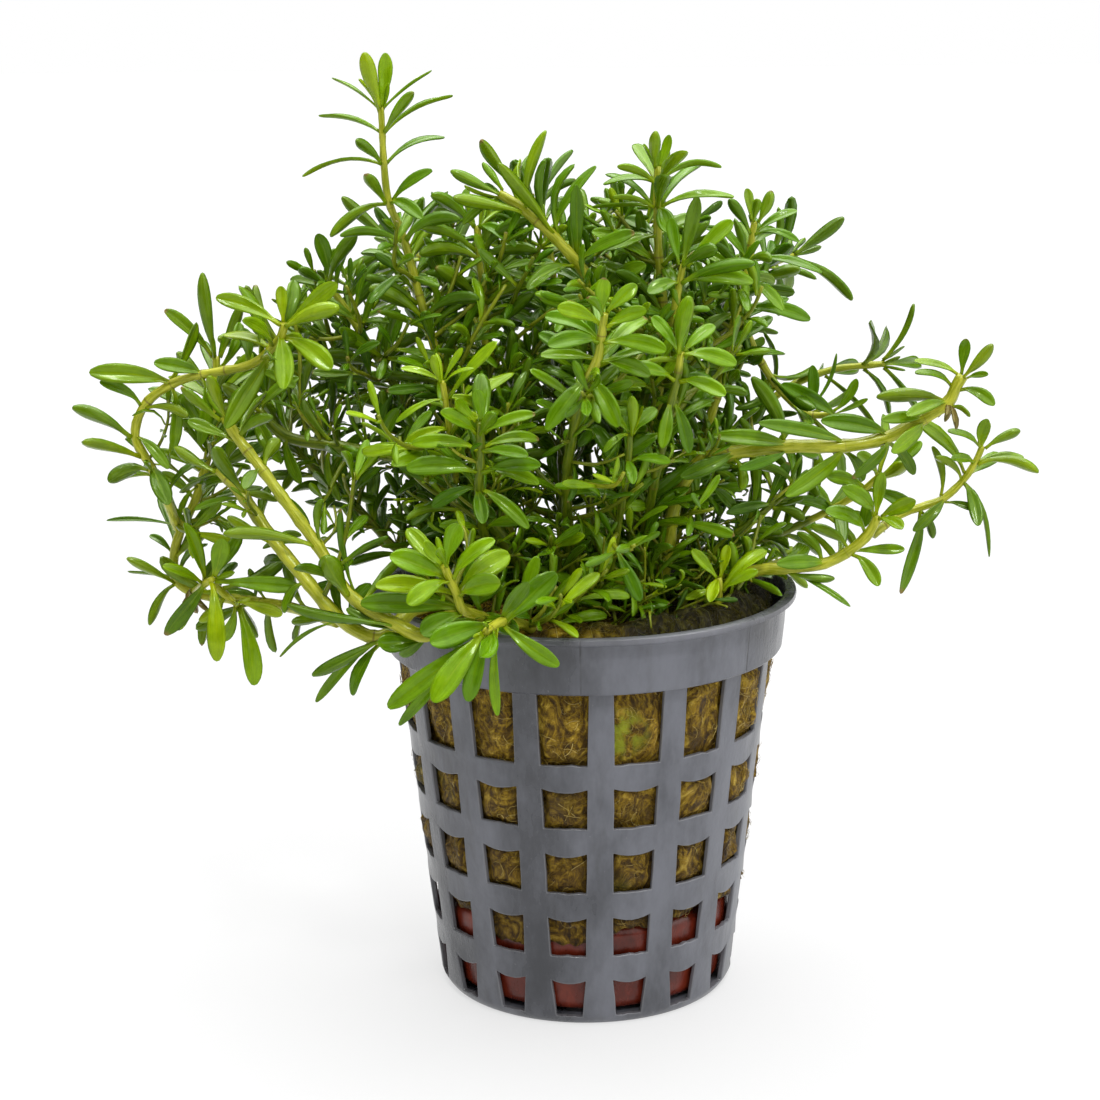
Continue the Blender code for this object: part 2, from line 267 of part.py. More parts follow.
RIGHT_SHOOTS = (
    Shoot("top_centre_shoot", root(5, 2), (0.8, 0.45), GREEN, (
        at(6.8, 60, 2), at(8.8, 72, 2), at(10.1, 82.5, 2, leaf(4.6, 87.4, -2), more=2),
        at(10.2, 89, 2, leaf(4.2, 93.8, 3, 2.2), more=2),
        at(9.7, 94.6, 2, leaf(1.2, 98.8, 3, 2.4), leaf(15.6, 97.6, -3, 2.2), more=1),
        at(9.5, 98.4, 2, leaf(2.8, 96.6, 3, 2.4), leaf(5.4, 100.4, -4, 2.2), leaf(14, 100.6, -4, 2.0)),
        at(9.4, 101.8, 2, leaf(1.2, 101.9, -1, 1.3, 0.2), leaf(19.1, 103, 0, 1.7, 0.4),
           leaf(3.8, 103.1, 1, 1.3, 0.3),
           leaf(10.9, 98.6, 6, 2.6, 0.8)),
        at(9.4, 105, 2, leaf(2.6, 104.7, -1, 1.7, 0.4), leaf(17.5, 106.7, 0, 1.6, 0.4),
           leaf(4.4, 106.9, 1, 1.7, 0.4)),
        at(9.5, 106.8, 2, leaf(9.3, 111.2, 1, 1.9, 0.9), leaf(10.9, 110.7, -1, 1.5, 0.6)),
    )),
    Shoot("right_top_shoot", root(9, 5), (0.8, 0.45), GREEN, (
        at(12, 60, 0), at(15.4, 72, 0), at(18, 81, 0, leaf(12, 80.4, 3, 2.2), more=1),
        at(19.5, 88.4, 0, leaf(28.9, 87.4, 0, 2.2, 0.7), leaf(13.6, 84.6, 3, 2.4),
           leaf(24.4, 92.2, -3, 1.6, -0.7)),
        at(20.7, 92.6, 0, leaf(14.2, 96.6, -2, 2.0), leaf(25.4, 88.6, 4, 2.0), more=1),
        at(21.1, 95.2, 0, leaf(30.3, 93.4, 1, 1.9, 0.5), leaf(17.6, 99, -1, 1.7, 0.5),
           leaf(24, 95, 4, 1.8)),
        at(21.4, 98.4, 0, leaf(27.3, 97.3, 1, 1.4, 0.3), leaf(18.4, 102.7, 1, 1.7, 0.6),
           leaf(27, 101.2, -1, 1.6, 0.5)),
        at(21.7, 99.9, 0, leaf(20.7, 104, -1, 1.7, -0.5), leaf(22.1, 102.7, 2, 1.4, 0.7),
           leaf(23.7, 103.7, 0, 1.7, 0.7)),
    )),
    Shoot("pale_leaf_shoot", fork("top_centre_shoot", 3), (0.6, 0.45), GREEN, (
        at(11.4, 87.6, 8), at(12.3, 92.4, 9, leaf(8.3, 91, 2, 2.4), leaf(21.6, 92.2, 1, 2.6, 0.7),
                              leaf(21.8, 94.6, 3, 2.0, -0.9)),
        at(12.7, 94.5, 9.5, leaf(14.5, 103, 0, 2.1, -0.8), leaf(18.9, 100, -1, 2.4, 0.6),
           leaf(11.2, 100.4, -2, 1.9),
           leaf(17, 96.6, 3, 2.2)),
    )),
    Shoot("middle_right_shoot", root(6, -8), (0.7, 0.5), GREEN, (
        at(7.4, 57, 10), at(9, 66, 14), at(10.5, 73, 17, leaf(5.4, 70, 2, 2.0), more=1),
        at(11.3, 77, 18, leaf(10.1, 71, 3, 2.0, 0.9), leaf(13.6, 70.3, 1, 2.0, 0.8)),
        at(12, 80, 18.5, leaf(4.5, 81.3, 2, 2.2, 0.7), leaf(18.2, 77.8, 3, 2.3, 0.8),
           leaf(16.8, 79.6, -2, 1.9, 0.6)),
        at(12.5, 83.4, 19, leaf(19.6, 81.8, 0, 2.5, 0.7), leaf(13.6, 90.6, 2, 2.4, -0.9),
           leaf(8.8, 88, -2, 2.0),
           leaf(16.8, 86.8, -2, 2.0)),
    )),
    Shoot("inner_right_shoot", root(2, -11), (0.55, 0.4), BRIGHT, (
        at(3.6, 56, 14), at(5, 64, 17), at(5.8, 69.6, 19, leaf(6.4, 66.4, 4, 1.6, 0.9),
           leaf(11.2, 69.2, 1, 1.5)),
        at(6, 73, 19.5, leaf(2.6, 70.6, 2, 1.3), leaf(6.2, 77.9, 1, 1.7, 0.8), leaf(9.4, 76.2, -2, 2.0),
           leaf(3.2, 76, -1, 1.3)),
    )),
    Shoot("right_long_stem", root(9, -5), (0.95, 0.75), GREEN, (
        at(10.6, 56.5, 7), at(12, 64.5, 9), at(15, 69.2, 10, leaf(8.2, 64.4, 2, 2.0)),
        at(19.4, 70.4, 10, leaf(12.4, 67.2, 3, 2.4), leaf(20.4, 65.4, 2, 2.0)),
        at(26, 71.1, 10, leaf(21.5, 80.2, -1, 2.4, 0.8), leaf(16.6, 72.6, 2, 2.4, 0.7),
           leaf(20, 68.2, 2, 1.6)),
        at(33.5, 71.1, 9.5, leaf(22.4, 74.2, 2, 2.2, 0.8), leaf(26, 64.6, 3, 2.6, 0.8),
           leaf(36, 66.4, -2, 2.0)),
        at(39, 72.2, 9, leaf(30.4, 74.4, 1, 2.7, 0.8), leaf(34.6, 66.8, 2, 2.0), leaf(42.6, 67.2, -3, 1.8)),
        at(43.5, 74.6, 8.5, leaf(39.6, 70.2, 3, 2.4, 0.8), leaf(38.2, 74.4, 1, 1.8)),
        at(46.6, 76.6, 8, leaf(41.3, 75, 3, 1.9, 0.6), leaf(37.4, 77.4, 0, 2.2, 0.7),
           leaf(49.6, 74.8, 2, 1.3, 0.3)),
        at(47.6, 78.7, 8, leaf(42.3, 80.6, 1, 1.7, 0.5), leaf(52.6, 76.2, 2, 1.9, 0.7)),
        at(48.4, 80.1, 8, leaf(42.1, 82.1, -1, 1.6, 0.5), leaf(48.7, 84.8, -1, 1.7, 0.9),
           leaf(52.1, 84.1, 1, 1.7, 0.8),
           leaf(51.6, 80.2, 2, 1.1)),
    )),
    Shoot("low_right_shoot", root(15, -8), (0.85, 0.6), BRIGHT, (
        at(18.6, 52.8, 8.5), at(22.6, 54.8, 9), at(26.6, 55, 9.5, leaf(32.6, 53.6, 1, 1.4)),
        at(31.2, 55.6, 9.5, leaf(25, 55.6, 3, 2.2), leaf(34.7, 49.8, 3, 1.0, 0.3),
           leaf(27.6, 59.8, -2, 1.9)),
        at(34.6, 57.4, 9.5, leaf(38.3, 52.5, 3, 2.0, 0.8), leaf(29.4, 60.6, -1, 2.0), more=1),
        at(36.9, 59.6, 9.5, leaf(31.2, 62.6, 1, 2.6), leaf(41.6, 57.4, -1, 1.6)),
        at(38, 61.9, 9.5, leaf(33.4, 65.6, 2, 2.4, 0.8), leaf(42.8, 63.8, 2, 2.2, 0.8),
           leaf(38.4, 67.6, -1, 2.0),
           leaf(41.2, 60.2, 4, 2.0)),
    )),
    Shoot("right_reaching_shoot", fork("low_right_shoot", 6), (0.65, 0.45), GREEN, (
        at(40.6, 61.9, 6.5), at(43.6, 63, 6, leaf(41.2, 51.4, 2, 2.1, 0.8), leaf(45.2, 58.8, -1, 1.4)),
        at(46.4, 64.1, 5.5, leaf(50.6, 62.6, 1, 1.2), leaf(44.8, 71, -1, 1.5), leaf(42.6, 59.8, 3, 1.8)),
        at(48.9, 66.5, 5, leaf(51, 60.4, 2, 2.1, 0.8), leaf(52.6, 56.2, -1, 0.9, 0.2),
           leaf(45.2, 69.6, 2, 1.5)),
        at(50.4, 68.9, 5, leaf(58.6, 67.4, 1, 1.8, 0.6), leaf(47.3, 69.3, 3, 1.6, 0.7),
           leaf(56.6, 69.5, -2, 1.9, 0.5)),
        at(51.2, 70.9, 5, leaf(46.7, 73, 1, 1.6), leaf(51.8, 74.4, 0, 1.8, 0.9),
           leaf(56, 72.9, 0, 1.6, 0.7)),
    )),
    Shoot("right_bright_rosette", root(13, 0), (0.65, 0.45), BRIGHT, (
        at(19.5, 57.2, -1), at(26.6, 60.2, -2, more=2), at(32.4, 63, -2, leaf(27.6, 67, 1, 2.0), more=1),
        at(36.4, 65.6, -1, leaf(31.2, 67.2, 2, 2.2), leaf(42.6, 62.6, 1, 2.2), leaf(36.2, 60.4, 2, 2.0)),
        at(38.2, 67.3, 0, leaf(41.4, 68.9, 4, 2.2, 0.8), leaf(43.4, 71.6, -2, 1.8),
           leaf(35.2, 70, 3, 2.2), more=1),
    )),
    Shoot("right_upper_side_shoot", fork("right_top_shoot", 4), (0.65, 0.45), GREEN, (
        at(21.4, 84.4, -4), at(24.8, 78.8, -5, leaf(23.2, 84.8, 0, 1.6, 0.7), leaf(19.4, 76, 1, 1.6)),
        at(28.6, 75.4, -5, leaf(29.2, 81.6, 0, 1.8, 0.9), leaf(32.3, 83.1, -2, 0.9, 0.2)),
        at(32.2, 75.2, -4, leaf(25.3, 79.2, 3, 2.4, 0.8), leaf(34.9, 79.8, 0, 1.5, 0.8),
           leaf(36.4, 77.2, -1, 0.9)),
    )),
    Shoot("right_inner_shoot", root(12, -4), (0.6, 0.45), DARK, (
        at(16.4, 56.6, 4), at(20.6, 60.4, 4, leaf(17, 65.6, 0, 1.8), leaf(25.8, 59.8, 1, 1.8)),
        at(24.2, 63.4, 3, leaf(18.4, 62.4, 2, 1.8), leaf(26.4, 69, -1, 2.0), leaf(28.6, 61.4, 2, 1.9)),
        at(27.2, 66.2, 2, leaf(22, 68.6, 2, 1.9), leaf(32.4, 68.8, 0, 2.0),
           leaf(30.4, 64.6, 3, 1.9), more=1),
    )),
    Shoot("pale_sprout", root(15.5, -12.5), (0.5, 0.4), BRIGHT, (
        at(17.4, 50.4, 13), at(17.7, 52.2, 13.5, leaf(22.6, 54.7, 1, 1.6, 0.9), leaf(13.2, 51, 1, 1.3)),
        at(17.5, 53.8, 13.7, leaf(14, 57.6, 0, 1.7, 0.7), leaf(16.4, 50.6, 4, 1.9, 0.8),
           leaf(18.6, 58.2, -1, 1.6)),
    )),
)

# Low sprigs of narrow young leaves at the foot of the stems: where they stand, and how far they rise
SPRIGS = (
    ("front_sprig", (-3.5, -12.0), 12.5),
    ("right_front_sprig", (7.0, -13.0), 12.0),
    ("right_sprig", (10.5, -9.0), 15.0),
    ("left_sprig", (-17.0, -2.0), 13.0),
    ("back_sprig", (-2.0, 16.5), 15.0),
)

# The stems behind and among the ones above: where they stand, which way they lean, how far they
# reach and how high they rise
BACK_STEMS = (
    ("back_stem_far_left", (-12.5, 9.5), 2.75, 30.0, 30.0),
    ("back_stem_left", (-6.5, 13.5), 2.15, 28.0, 42.0),
    ("back_stem_middle", (1.5, 14.0), 1.65, 27.0, 38.0),
    ("back_stem_right", (9.0, 12.0), 0.95, 28.0, 40.0),
    ("back_stem_far_right", (14.0, 6.5), 0.30, 26.0, 28.0),
    ("inner_stem_left", (-2.5, 8.5), 2.05, 12.0, 50.0),
    ("inner_stem_middle", (3.5, 9.0), 1.20, 13.0, 46.0),
    ("inner_stem_right", (5.5, -3.5), 0.05, 8.0, 38.0),
)


def seen(across, up, near):
    flat = Vector((across, 0.0, up))
    return flat + (EYE - flat).normalized() * near


def to_eye(place):
    return (EYE - place).normalized()


def perpendicular(vector, axis):
    return vector - axis * vector.dot(axis)


class Stem:
    """The spine of a shoot, and four-sided rings round it that its leaves grow from."""

    def __init__(self, shoot, spine):
        self.shoot = shoot
        self.spine = spine
        last = len(spine) - 1
        along = [spine[min(k + 1, last)] - spine[max(k - 1, 0)] for k in range(last + 1)]
        self.tangents = [way.normalized() for way in along]
        if shoot.start[0] == "root":
            self.tangents[0] = Vector((0.0, 0.0, 1.0))
        lengths = [0.0]
        for k in range(last):
            lengths.append(lengths[-1] + (spine[k + 1] - spine[k]).length)
        first, end = shoot.radii
        self.radii = [first + (end - first) * length / lengths[-1] for length in lengths]
        self.leaves = []
        self.turned = [0.0] * (last + 1)
        self.order = {}  # for each ring, the side that each of its leaves is to grow from
        self.set_rings()

    def set_rings(self):
        """The ring at each point, carried along the spine without twist and then turned by self.turned."""
        self.sides = []
        sideways = perpendicular(Vector((1.0, 0.0, 0.0)), self.tangents[0]).normalized()
        for tangent, turn in zip(self.tangents, self.turned):
            sideways = perpendicular(sideways, tangent).normalized()
            angles = [turn + math.pi / 2 * side for side in range(4)]
            self.sides.append([Matrix.Rotation(angle, 3, tangent) @ sideways for angle in angles])

    def corner(self, ring, side, margin=0.0):
        out = self.sides[ring][side % 4] + self.sides[ring][(side + 1) % 4]
        return self.spine[ring] + out.normalized() * (self.radii[ring] + margin)

    def sleeve(self, margin, first=0):
        points = [self.corner(k, side, margin) for k in range(first, len(self.spine)) for side in range(4)]
        faces = [
            (4 * k + side, 4 * k + (side + 1) % 4, 4 * k + 4 + (side + 1) % 4, 4 * k + 4 + side)
            for k in range(len(self.spine) - 1 - first)
            for side in range(4)
        ]
        return points, faces


def stem_spine(shoot, stems, shift):
    """The shoot's points in space. shift moves the free part of the stem towards the eye."""
    kind, *where = shoot.start
    bound = 0 if kind == "root" else 1  # a stem that forks off is free from its first point on
    shares = [min(1.0, (k + bound) / 3) for k in range(len(shoot.points))]
    free = [seen(p.across, p.up, p.near + shift * share) for p, share in zip(shoot.points, shares)]
    if kind == "root":
        return [Vector((where[0], where[1], PLUG_TOP + GAP))] + free
    parent, k = stems[where[0]], where[1]
    way = perpendicular(free[0] - parent.spine[k], parent.tangents[k]).normalized()
    return [parent.spine[k] + way * (parent.radii[k] + GAP + 0.35)] + free


def tree_of(parts):
    points, faces = [], []
    for more_points, more_faces in parts:
        faces += [tuple(len(points) + i for i in face) for face in more_faces]
        points += more_points
    return BVHTree.FromPolygons(points, faces) if faces else None


def meets(first, second):
    return bool(first and second and first.overlap(second))


def grow_stems(shoots):
    stems = {}
    for shoot in shoots:
        others = tree_of([stem.sleeve(0.0) for stem in stems.values()])
        for shift in (0, 1.2, -1.2, 2.4, -2.4, 3.6, -3.6, 5, -5, 7, -7, 9, -9):
            stem = Stem(shoot, stem_spine(shoot, stems, shift))
            if not meets(tree_of([stem.sleeve(GAP + 0.1)]), others):
                break
        stems[shoot.name] = stem
    return stems


def leaf_width(share):
    """How wide a leaf is along its length, against its widest place."""
    if share < LEAF_WIDEST:
        return 0.3 + 0.7 * math.sin(math.pi / 2 * share / LEAF_WIDEST) ** 1.3
    return 1.0 - (1.0 - TIP_SHARE) * ((share - LEAF_WIDEST) / (1.0 - LEAF_WIDEST)) ** 2


def leaf_section(leaf_at, share):
    """The leaf's middle, the way across it, its upper side and its half width at a share of its length."""
    base, tip = leaf_at.base, leaf_at.tip
    control = base + (tip - base) * 0.45 + leaf_at.lift
    middle = base * (1 - share) ** 2 + control * (2 * share * (1 - share)) + tip * share**2
    along = ((control - base) * (1 - share) + (tip - control) * share).normalized()
    normal = leaf_at.edge.cross(along).normalized()
    eye = perpendicular(to_eye(middle), along).normalized()
    turn = abs(leaf_at.face) * min(1.0, share / 0.3)
    side_seen = leaf_at.edge.cross(tip - base).dot(to_eye(base))
    normal = perpendicular(normal * (1 - turn) + eye * math.copysign(turn, side_seen), along).normalized()
    half = leaf_at.width / 2 * leaf_width(share)
    return Section(middle, along.cross(normal), normal, half, LEAF_DEPTH * (1 - share**4))


def leaf_sections(leaf_at, shares=(0.0, LEAF_WIDEST, 1.0)):
    return [leaf_section(leaf_at, share) for share in shares]


def leaf_sleeve(sections, margin):
    points, faces = [], []
    for number, part in enumerate(sections):
        over, under = part.normal * (margin + 0.02), part.normal * -(part.depth + margin)
        aside = part.across * (part.half + margin)
        points += [part.middle + aside + over, part.middle - aside + over, part.middle - aside + under,
                   part.middle + aside + under]
        if number:
            near, far = 4 * number - 4, 4 * number
            faces += [(near + i, near + (i + 1) % 4, far + (i + 1) % 4, far + i) for i in range(4)]
    return points, faces


def pot_radius(height):
    """The outside of the pot at a height."""
    if height > COLLAR_FOOT:
        return LIP_DIAMETER / 2
    return WALL_RADIUS_FOOT + (WALL_RADIUS_COLLAR - WALL_RADIUS_FOOT) * height / COLLAR_FOOT


def clear_of_pot(points):
    for point in points:
        out = math.hypot(point.x, point.y)
        if point.z < 0.4:
            return False
        if point.z < POT_HEIGHT + 0.5 and LIP_DIAMETER / 2 - 4.2 < out < pot_radius(point.z) + 0.5:
            return False
        if point.z < PLUG_TOP + 0.5 and out < pot_radius(point.z):
            return False
    return True


def leaf_between(base, tip, out, tangent, bow, width, face, ring=0, side=0):
    """A leaf that leaves its stem on the side called out. One that stands up along the stem bows outwards."""
    chord = tip - base
    steep = max(0.0, chord.normalized().dot(tangent)) ** 4
    lift = (tangent * (1 - steep) + out * steep) * (bow * chord.length)
    return Leaf(ring, side, base, out.cross(tangent), lift, tip, width, face)


def leaf_on(stem, ring, side, tip, width, face, bow):
    base = (stem.corner(ring, side - 1) + stem.corner(ring, side)) / 2
    return leaf_between(base, tip, stem.sides[ring][side], stem.tangents[ring], bow, width, face, ring, side)


def try_leaf(stem, leaf_at, others):
    """Puts the leaf on the stem if nothing is in its way."""
    sections = leaf_sections(leaf_at)
    points, faces = leaf_sleeve(sections[:1] + leaf_sections(leaf_at, (0.3, LEAF_WIDEST, 1.0)), GAP)
    if not clear_of_pot(points):
        return False
    sleeve = BVHTree.FromPolygons(points, faces)
    if any(meets(sleeve, tree) for tree in others):
        return False
    blade = leaf_sleeve(leaf_sections(leaf_at, (0.3, LEAF_WIDEST, 1.0)), 0.0)
    own = [leaf_sleeve(leaf_sections(other, (0.15, LEAF_WIDEST, 1.0)), 0.0) for other in stem.leaves]
    if meets(BVHTree.FromPolygons(*blade), tree_of([*own, stem.sleeve(0.0)])):
        return False
    stem.leaves.append(leaf_at)
    return True


def free_side(stem, ring, way, least=-1.0):
    """The free side of a ring that faces most nearly that way."""
    taken = {leaf_at.side for leaf_at in stem.leaves if leaf_at.ring == ring}
    sides = [side for side in range(4) if side not in taken and stem.sides[ring][side].dot(way) > least]
    return max(sides, key=lambda side: stem.sides[ring][side].dot(way), default=None)


def lead_in(stem):
    """How many points the spine has before the shoot's own."""
    return len(stem.spine) - len(stem.shoot.points)


def turn_rings(stem):
    """Turns each ring so that its sides face its leaves as nearly as they can."""
    for number, point in enumerate(stem.shoot.points):
        ring = number + lead_in(stem)
        tangent, near = stem.tangents[ring], as_seen(stem.spine[ring])[2]
        tips = [seen(spec.across, spec.up, near + spec.nearer) for spec in point.leaves]
        ways = [perpendicular(tip - stem.spine[ring], tangent).normalized() for tip in tips]
        best = 0.0
        for turn in [math.pi / 24 * step for step in range(-6, 6)]:
            sides = [Matrix.Rotation(turn, 3, tangent) @ side for side in stem.sides[ring]]
            for order in permutations(range(4), len(ways)):
                fit = sum(min(0.8, sides[side].dot(way)) for side, way in zip(order, ways))
                if fit > best + 0.001:
                    best, stem.turned[ring], stem.order[ring] = fit, turn, order
    stem.set_rings()


def seats(stem, ring, number, way):
    """Where a leaf can grow: its own side of its ring, or else a side of a ring next to it."""
    order = stem.order.get(ring, ())
    if number < len(order) and stem.sides[ring][order[number]].dot(way) > 0.1:
        yield ring, order[number]
    for other in (ring, ring - 1, ring + 1):
        if 0 < other < len(stem.spine):
            side = free_side(stem, other, way, 0.1)
            kept = stem.order.get(other, ())
            if side is not None and (other == ring or side not in kept):
                yield other, side


def grow_seen_leaf(stem, ring, count, spec, others):
    """A leaf given by its tip. If it meets something, its tip moves along the line of sight."""
    near = as_seen(stem.spine[ring])[2]
    for shift in (0, 1.5, -1.5, 3, -3, 4.5, -4.5, 6, -6, 8, -8):
        tip = seen(spec.across, spec.up, near + spec.nearer + shift)
        way = (tip - stem.spine[ring]).normalized()
        for place, side in seats(stem, ring, count, way):
            if try_leaf(stem, leaf_on(stem, place, side, tip, spec.width, spec.face, 0.16), others):
                return


def grow_seen_leaves(stem, others):
    for number, point in enumerate(stem.shoot.points):
        for count, spec in enumerate(point.leaves):
            grow_seen_leaf(stem, number + lead_in(stem), count, spec, others)


def grow_more_leaves(stem, others, dice):
    """Leaves on the free sides, turned away from the eye first."""
    for number, point in enumerate(stem.shoot.points):
        ring = number + lead_in(stem)
        tangent, centre = stem.tangents[ring], stem.spine[ring]
        for _ in range(point.more):
            stray = Vector((dice.uniform(-1, 1), dice.uniform(-1, 1), dice.uniform(-0.5, 0.5)))
            away = stray - to_eye(centre)
            side = free_side(stem, ring, away)
            if side is None:
                break
            length, width = dice.uniform(8.0, 10.5), dice.uniform(1.9, 2.6)
            for turn in (0.0, 0.4, -0.4, 0.8, -0.8):
                out = Matrix.Rotation(turn, 3, tangent) @ stem.sides[ring][side]
                way = (out * 0.85 + tangent * 0.5 + Vector((0, 0, -0.12))).normalized()
                if try_leaf(stem, leaf_on(stem, ring, side, centre + way * length, width, 0.0, 0.12), others):
                    break


def grow_leaves(stems, grow):
    """Runs grow for every stem, with what the other stems already fill."""
    for name, stem in stems.items():
        bare = tree_of([other.sleeve(0.0) for other in stems.values() if other is not stem])
        leafy = tree_of([
            leaf_sleeve(leaf_sections(leaf_at), 0.0)
            for other in stems.values() if other is not stem for leaf_at in other.leaves
        ])
        grow(stem, [tree for tree in (bare, leafy) if tree])


def as_seen(place):
    """A point in space as across, up and near."""
    share = EYE.y / (EYE.y - place.y)
    flat = EYE + (place - EYE) * share
    return flat.x, flat.z, (place - flat).length * math.copysign(1.0, -place.y)


def back_shoot(name, foot, lean, reach, rise, dice):
    """A stem that rises from its foot and arches over towards lean, in radians from +X."""
    count = max(4, round(math.hypot(reach, rise) / 7.5))
    points = []
    for k in range(1, count + 1):
        share = k / count
        bend = lean + 0.25 * math.sin(2.5 * share + foot[0])
        out = reach * share**1.5
        place = Vector((
            foot[0] + out * math.cos(bend),
            foot[1] + out * math.sin(bend),
            PLUG_TOP + 2.0 + rise * math.sin(math.pi / 2 * share**0.9),
        ))
        leaves = 0 if share < 0.3 else (2 if k < count else 4)
        points.append(Point(*as_seen(place), (), leaves))
    return Shoot(name, root(*foot), (0.72, 0.48), DARK if dice.random() < 0.6 else GREEN, tuple(points))


def sprig(name, foot, rise, dice):
    """A short shoot of narrow leaves."""
    points = []
    for share in (0.45, 1.0):
        aside, back = dice.uniform(-1.4, 1.4), dice.uniform(-1.4, 1.4)
        place = Vector((foot[0] + aside, foot[1] + back, PLUG_TOP + 1.2 + rise * share))
        across, up, near = as_seen(place)
        leaves = []
        for way in (-1, 1, 0):
            forward = -2.6 * (way == 0) + dice.uniform(-2, 1)
            tip = place + Vector((way * 4.2 + dice.uniform(-1, 1), forward, dice.uniform(1, 4)))
            tip_across, tip_up, tip_near = as_seen(tip)
            leaves.append(leaf(tip_across, tip_up, tip_near - near, dice.uniform(0.9, 1.3), 0.4))
        points.append(at(across, up, near, *leaves))
    return Shoot(name, root(*foot), (0.4, 0.3), GREEN, tuple(points))


def grow_plant():
    dice = random.Random(SEED)
    back = [back_shoot(*row, dice) for row in BACK_STEMS]
    low = [sprig(*row, dice) for row in SPRIGS]
    stems = grow_stems([*LEFT_SHOOTS, *CENTRE_SHOOTS, *RIGHT_SHOOTS, *low, *back])
    for stem in stems.values():
        turn_rings(stem)
    grow_leaves(stems, grow_seen_leaves)
    grow_leaves(stems, lambda stem, others: grow_more_leaves(stem, others, dice))
    return stems


def material(name, colour, roughness):
    made = bpy.data.materials.new(name)
    made.use_nodes = True
    shader = made.node_tree.nodes["Principled BSDF"]
    shader.inputs["Base Color"].default_value = (*colour, 1.0)
    shader.inputs["Roughness"].default_value = roughness
    return made


def add_object(name, points, faces, look, smooth_angle=None):
    mesh = bpy.data.meshes.new(name)
    mesh.from_pydata([tuple(Vector(point) * MM) for point in points], [], faces)
    mesh.materials.append(look)
    if smooth_angle:
        mesh.shade_smooth()
        mesh.set_sharp_from_angle(angle=smooth_angle)
    made = bpy.data.objects.new(name, mesh)
    bpy.context.scene.collection.objects.link(made)
    return made


def spread(points, near, far):
    """How far apart the corners of two loops lie, which is least where the tube between them twists least."""
    return sum((points[i] - points[j]).length_squared for i, j in zip(near, far))


def bulging(points, a, b, c, d):
    """A twisted four-sided face as two triangles, parted on the diagonal that lies further out."""
    outward = (points[c] - points[a]).cross(points[d] - points[b])
    if (points[a] + points[c] - points[b] - points[d]).dot(outward) > 0:
        return [(a, b, c), (a, c, d)]
    return [(a, b, d), (b, c, d)]


def shoot_mesh(stem):
    """One closed mesh: the stem's rings, a bud at the tip, and a leaf drawn out of each taken side."""
    points, faces = [], []

    def add(point):
        points.append(point)
        return len(points) - 1

    rings = [[add(stem.corner(k, side - 1)) for side in range(4)] for k in range(len(stem.spine))]
    faces.append(tuple(reversed(rings[0])))
    taken = {(leaf_at.ring, leaf_at.side): leaf_at for leaf_at in stem.leaves}
    for k in range(1, len(rings)):
        for side in range(4):
            low, low_next = rings[k - 1][side], rings[k - 1][(side + 1) % 4]
            high, high_next = rings[k][side], rings[k][(side + 1) % 4]
            leaf_at = taken.get((k, side))
            if leaf_at is None:
                faces += bulging(points, low, low_next, high_next, high)
                continue
            drop = min(0.55, 0.3 * (stem.spine[k] - stem.spine[k - 1]).length)
            keel = add((points[high] + points[high_next]) / 2 - stem.tangents[k] * drop)
            faces += [(low, low_next, keel), (low_next, high_next, keel), (high, low, keel)]
            near = (high, high_next, keel)
            wide = leaf_section(leaf_at, LEAF_WIDEST)
            far = (add(wide.middle + wide.across * wide.half), add(wide.middle - wide.across * wide.half),
                   add(wide.middle - wide.normal * wide.depth))
            ends = min((far[i:] + far[:i] for i in range(3)), key=lambda to: spread(points, near, to))
            for i in range(3):
                j = (i + 1) % 3
                faces += bulging(points, near[j], near[i], ends[i], ends[j])
            if leaf_at.width < POINTED_BELOW or not leaf_at.face:
                tip = add(leaf_at.tip)
                faces += [(far[1], far[0], tip), (far[0], far[2], tip), (far[2], far[1], tip)]
                continue
            end = leaf_section(leaf_at, 1.0)
            tip = (add(end.middle + end.across * end.half), add(end.middle - end.across * end.half))
            faces += bulging(points, far[1], far[0], tip[0], tip[1])
            faces += [(far[0], far[2], tip[0]), (far[2], far[1], tip[1]), (tip[1], tip[0], far[2])]
    bud = add(stem.spine[-1] + stem.tangents[-1] * stem.radii[-1] * 1.6)
    faces += [(rings[-1][side], rings[-1][(side + 1) % 4], bud) for side in range(4)]
    return points, faces


def on_circle(radius, angle, height):
    """A point of the pot, its angle measured from the front towards +X."""
    return Vector((radius * math.sin(angle), -radius * math.cos(angle), height))


def pot_levels():
    """Heights with half a window's width at each, from the foot to the collar."""
    levels = [(0.0, WINDOW_ROWS[0][2])]
    for low, high, half_low, half_high in WINDOW_ROWS:
        levels += [(low, half_low), (high, half_high)]
    return levels


def window_edges(points, radius, height, half, step):
    """Adds two points beside the middle of every step-th column, and returns their numbers."""
    first = len(points)
    for column in range(0, COLUMNS, step):
        middle = FIRST_COLUMN + 2 * math.pi * column / COLUMNS
        points.extend(on_circle(radius, middle + aside, height) for aside in (-half, half))
    return range(first, len(points))


def wall_radius(height):
    return WALL_RADIUS_FOOT + (WALL_RADIUS_COLLAR - WALL_RADIUS_FOOT) * height / COLLAR_FOOT


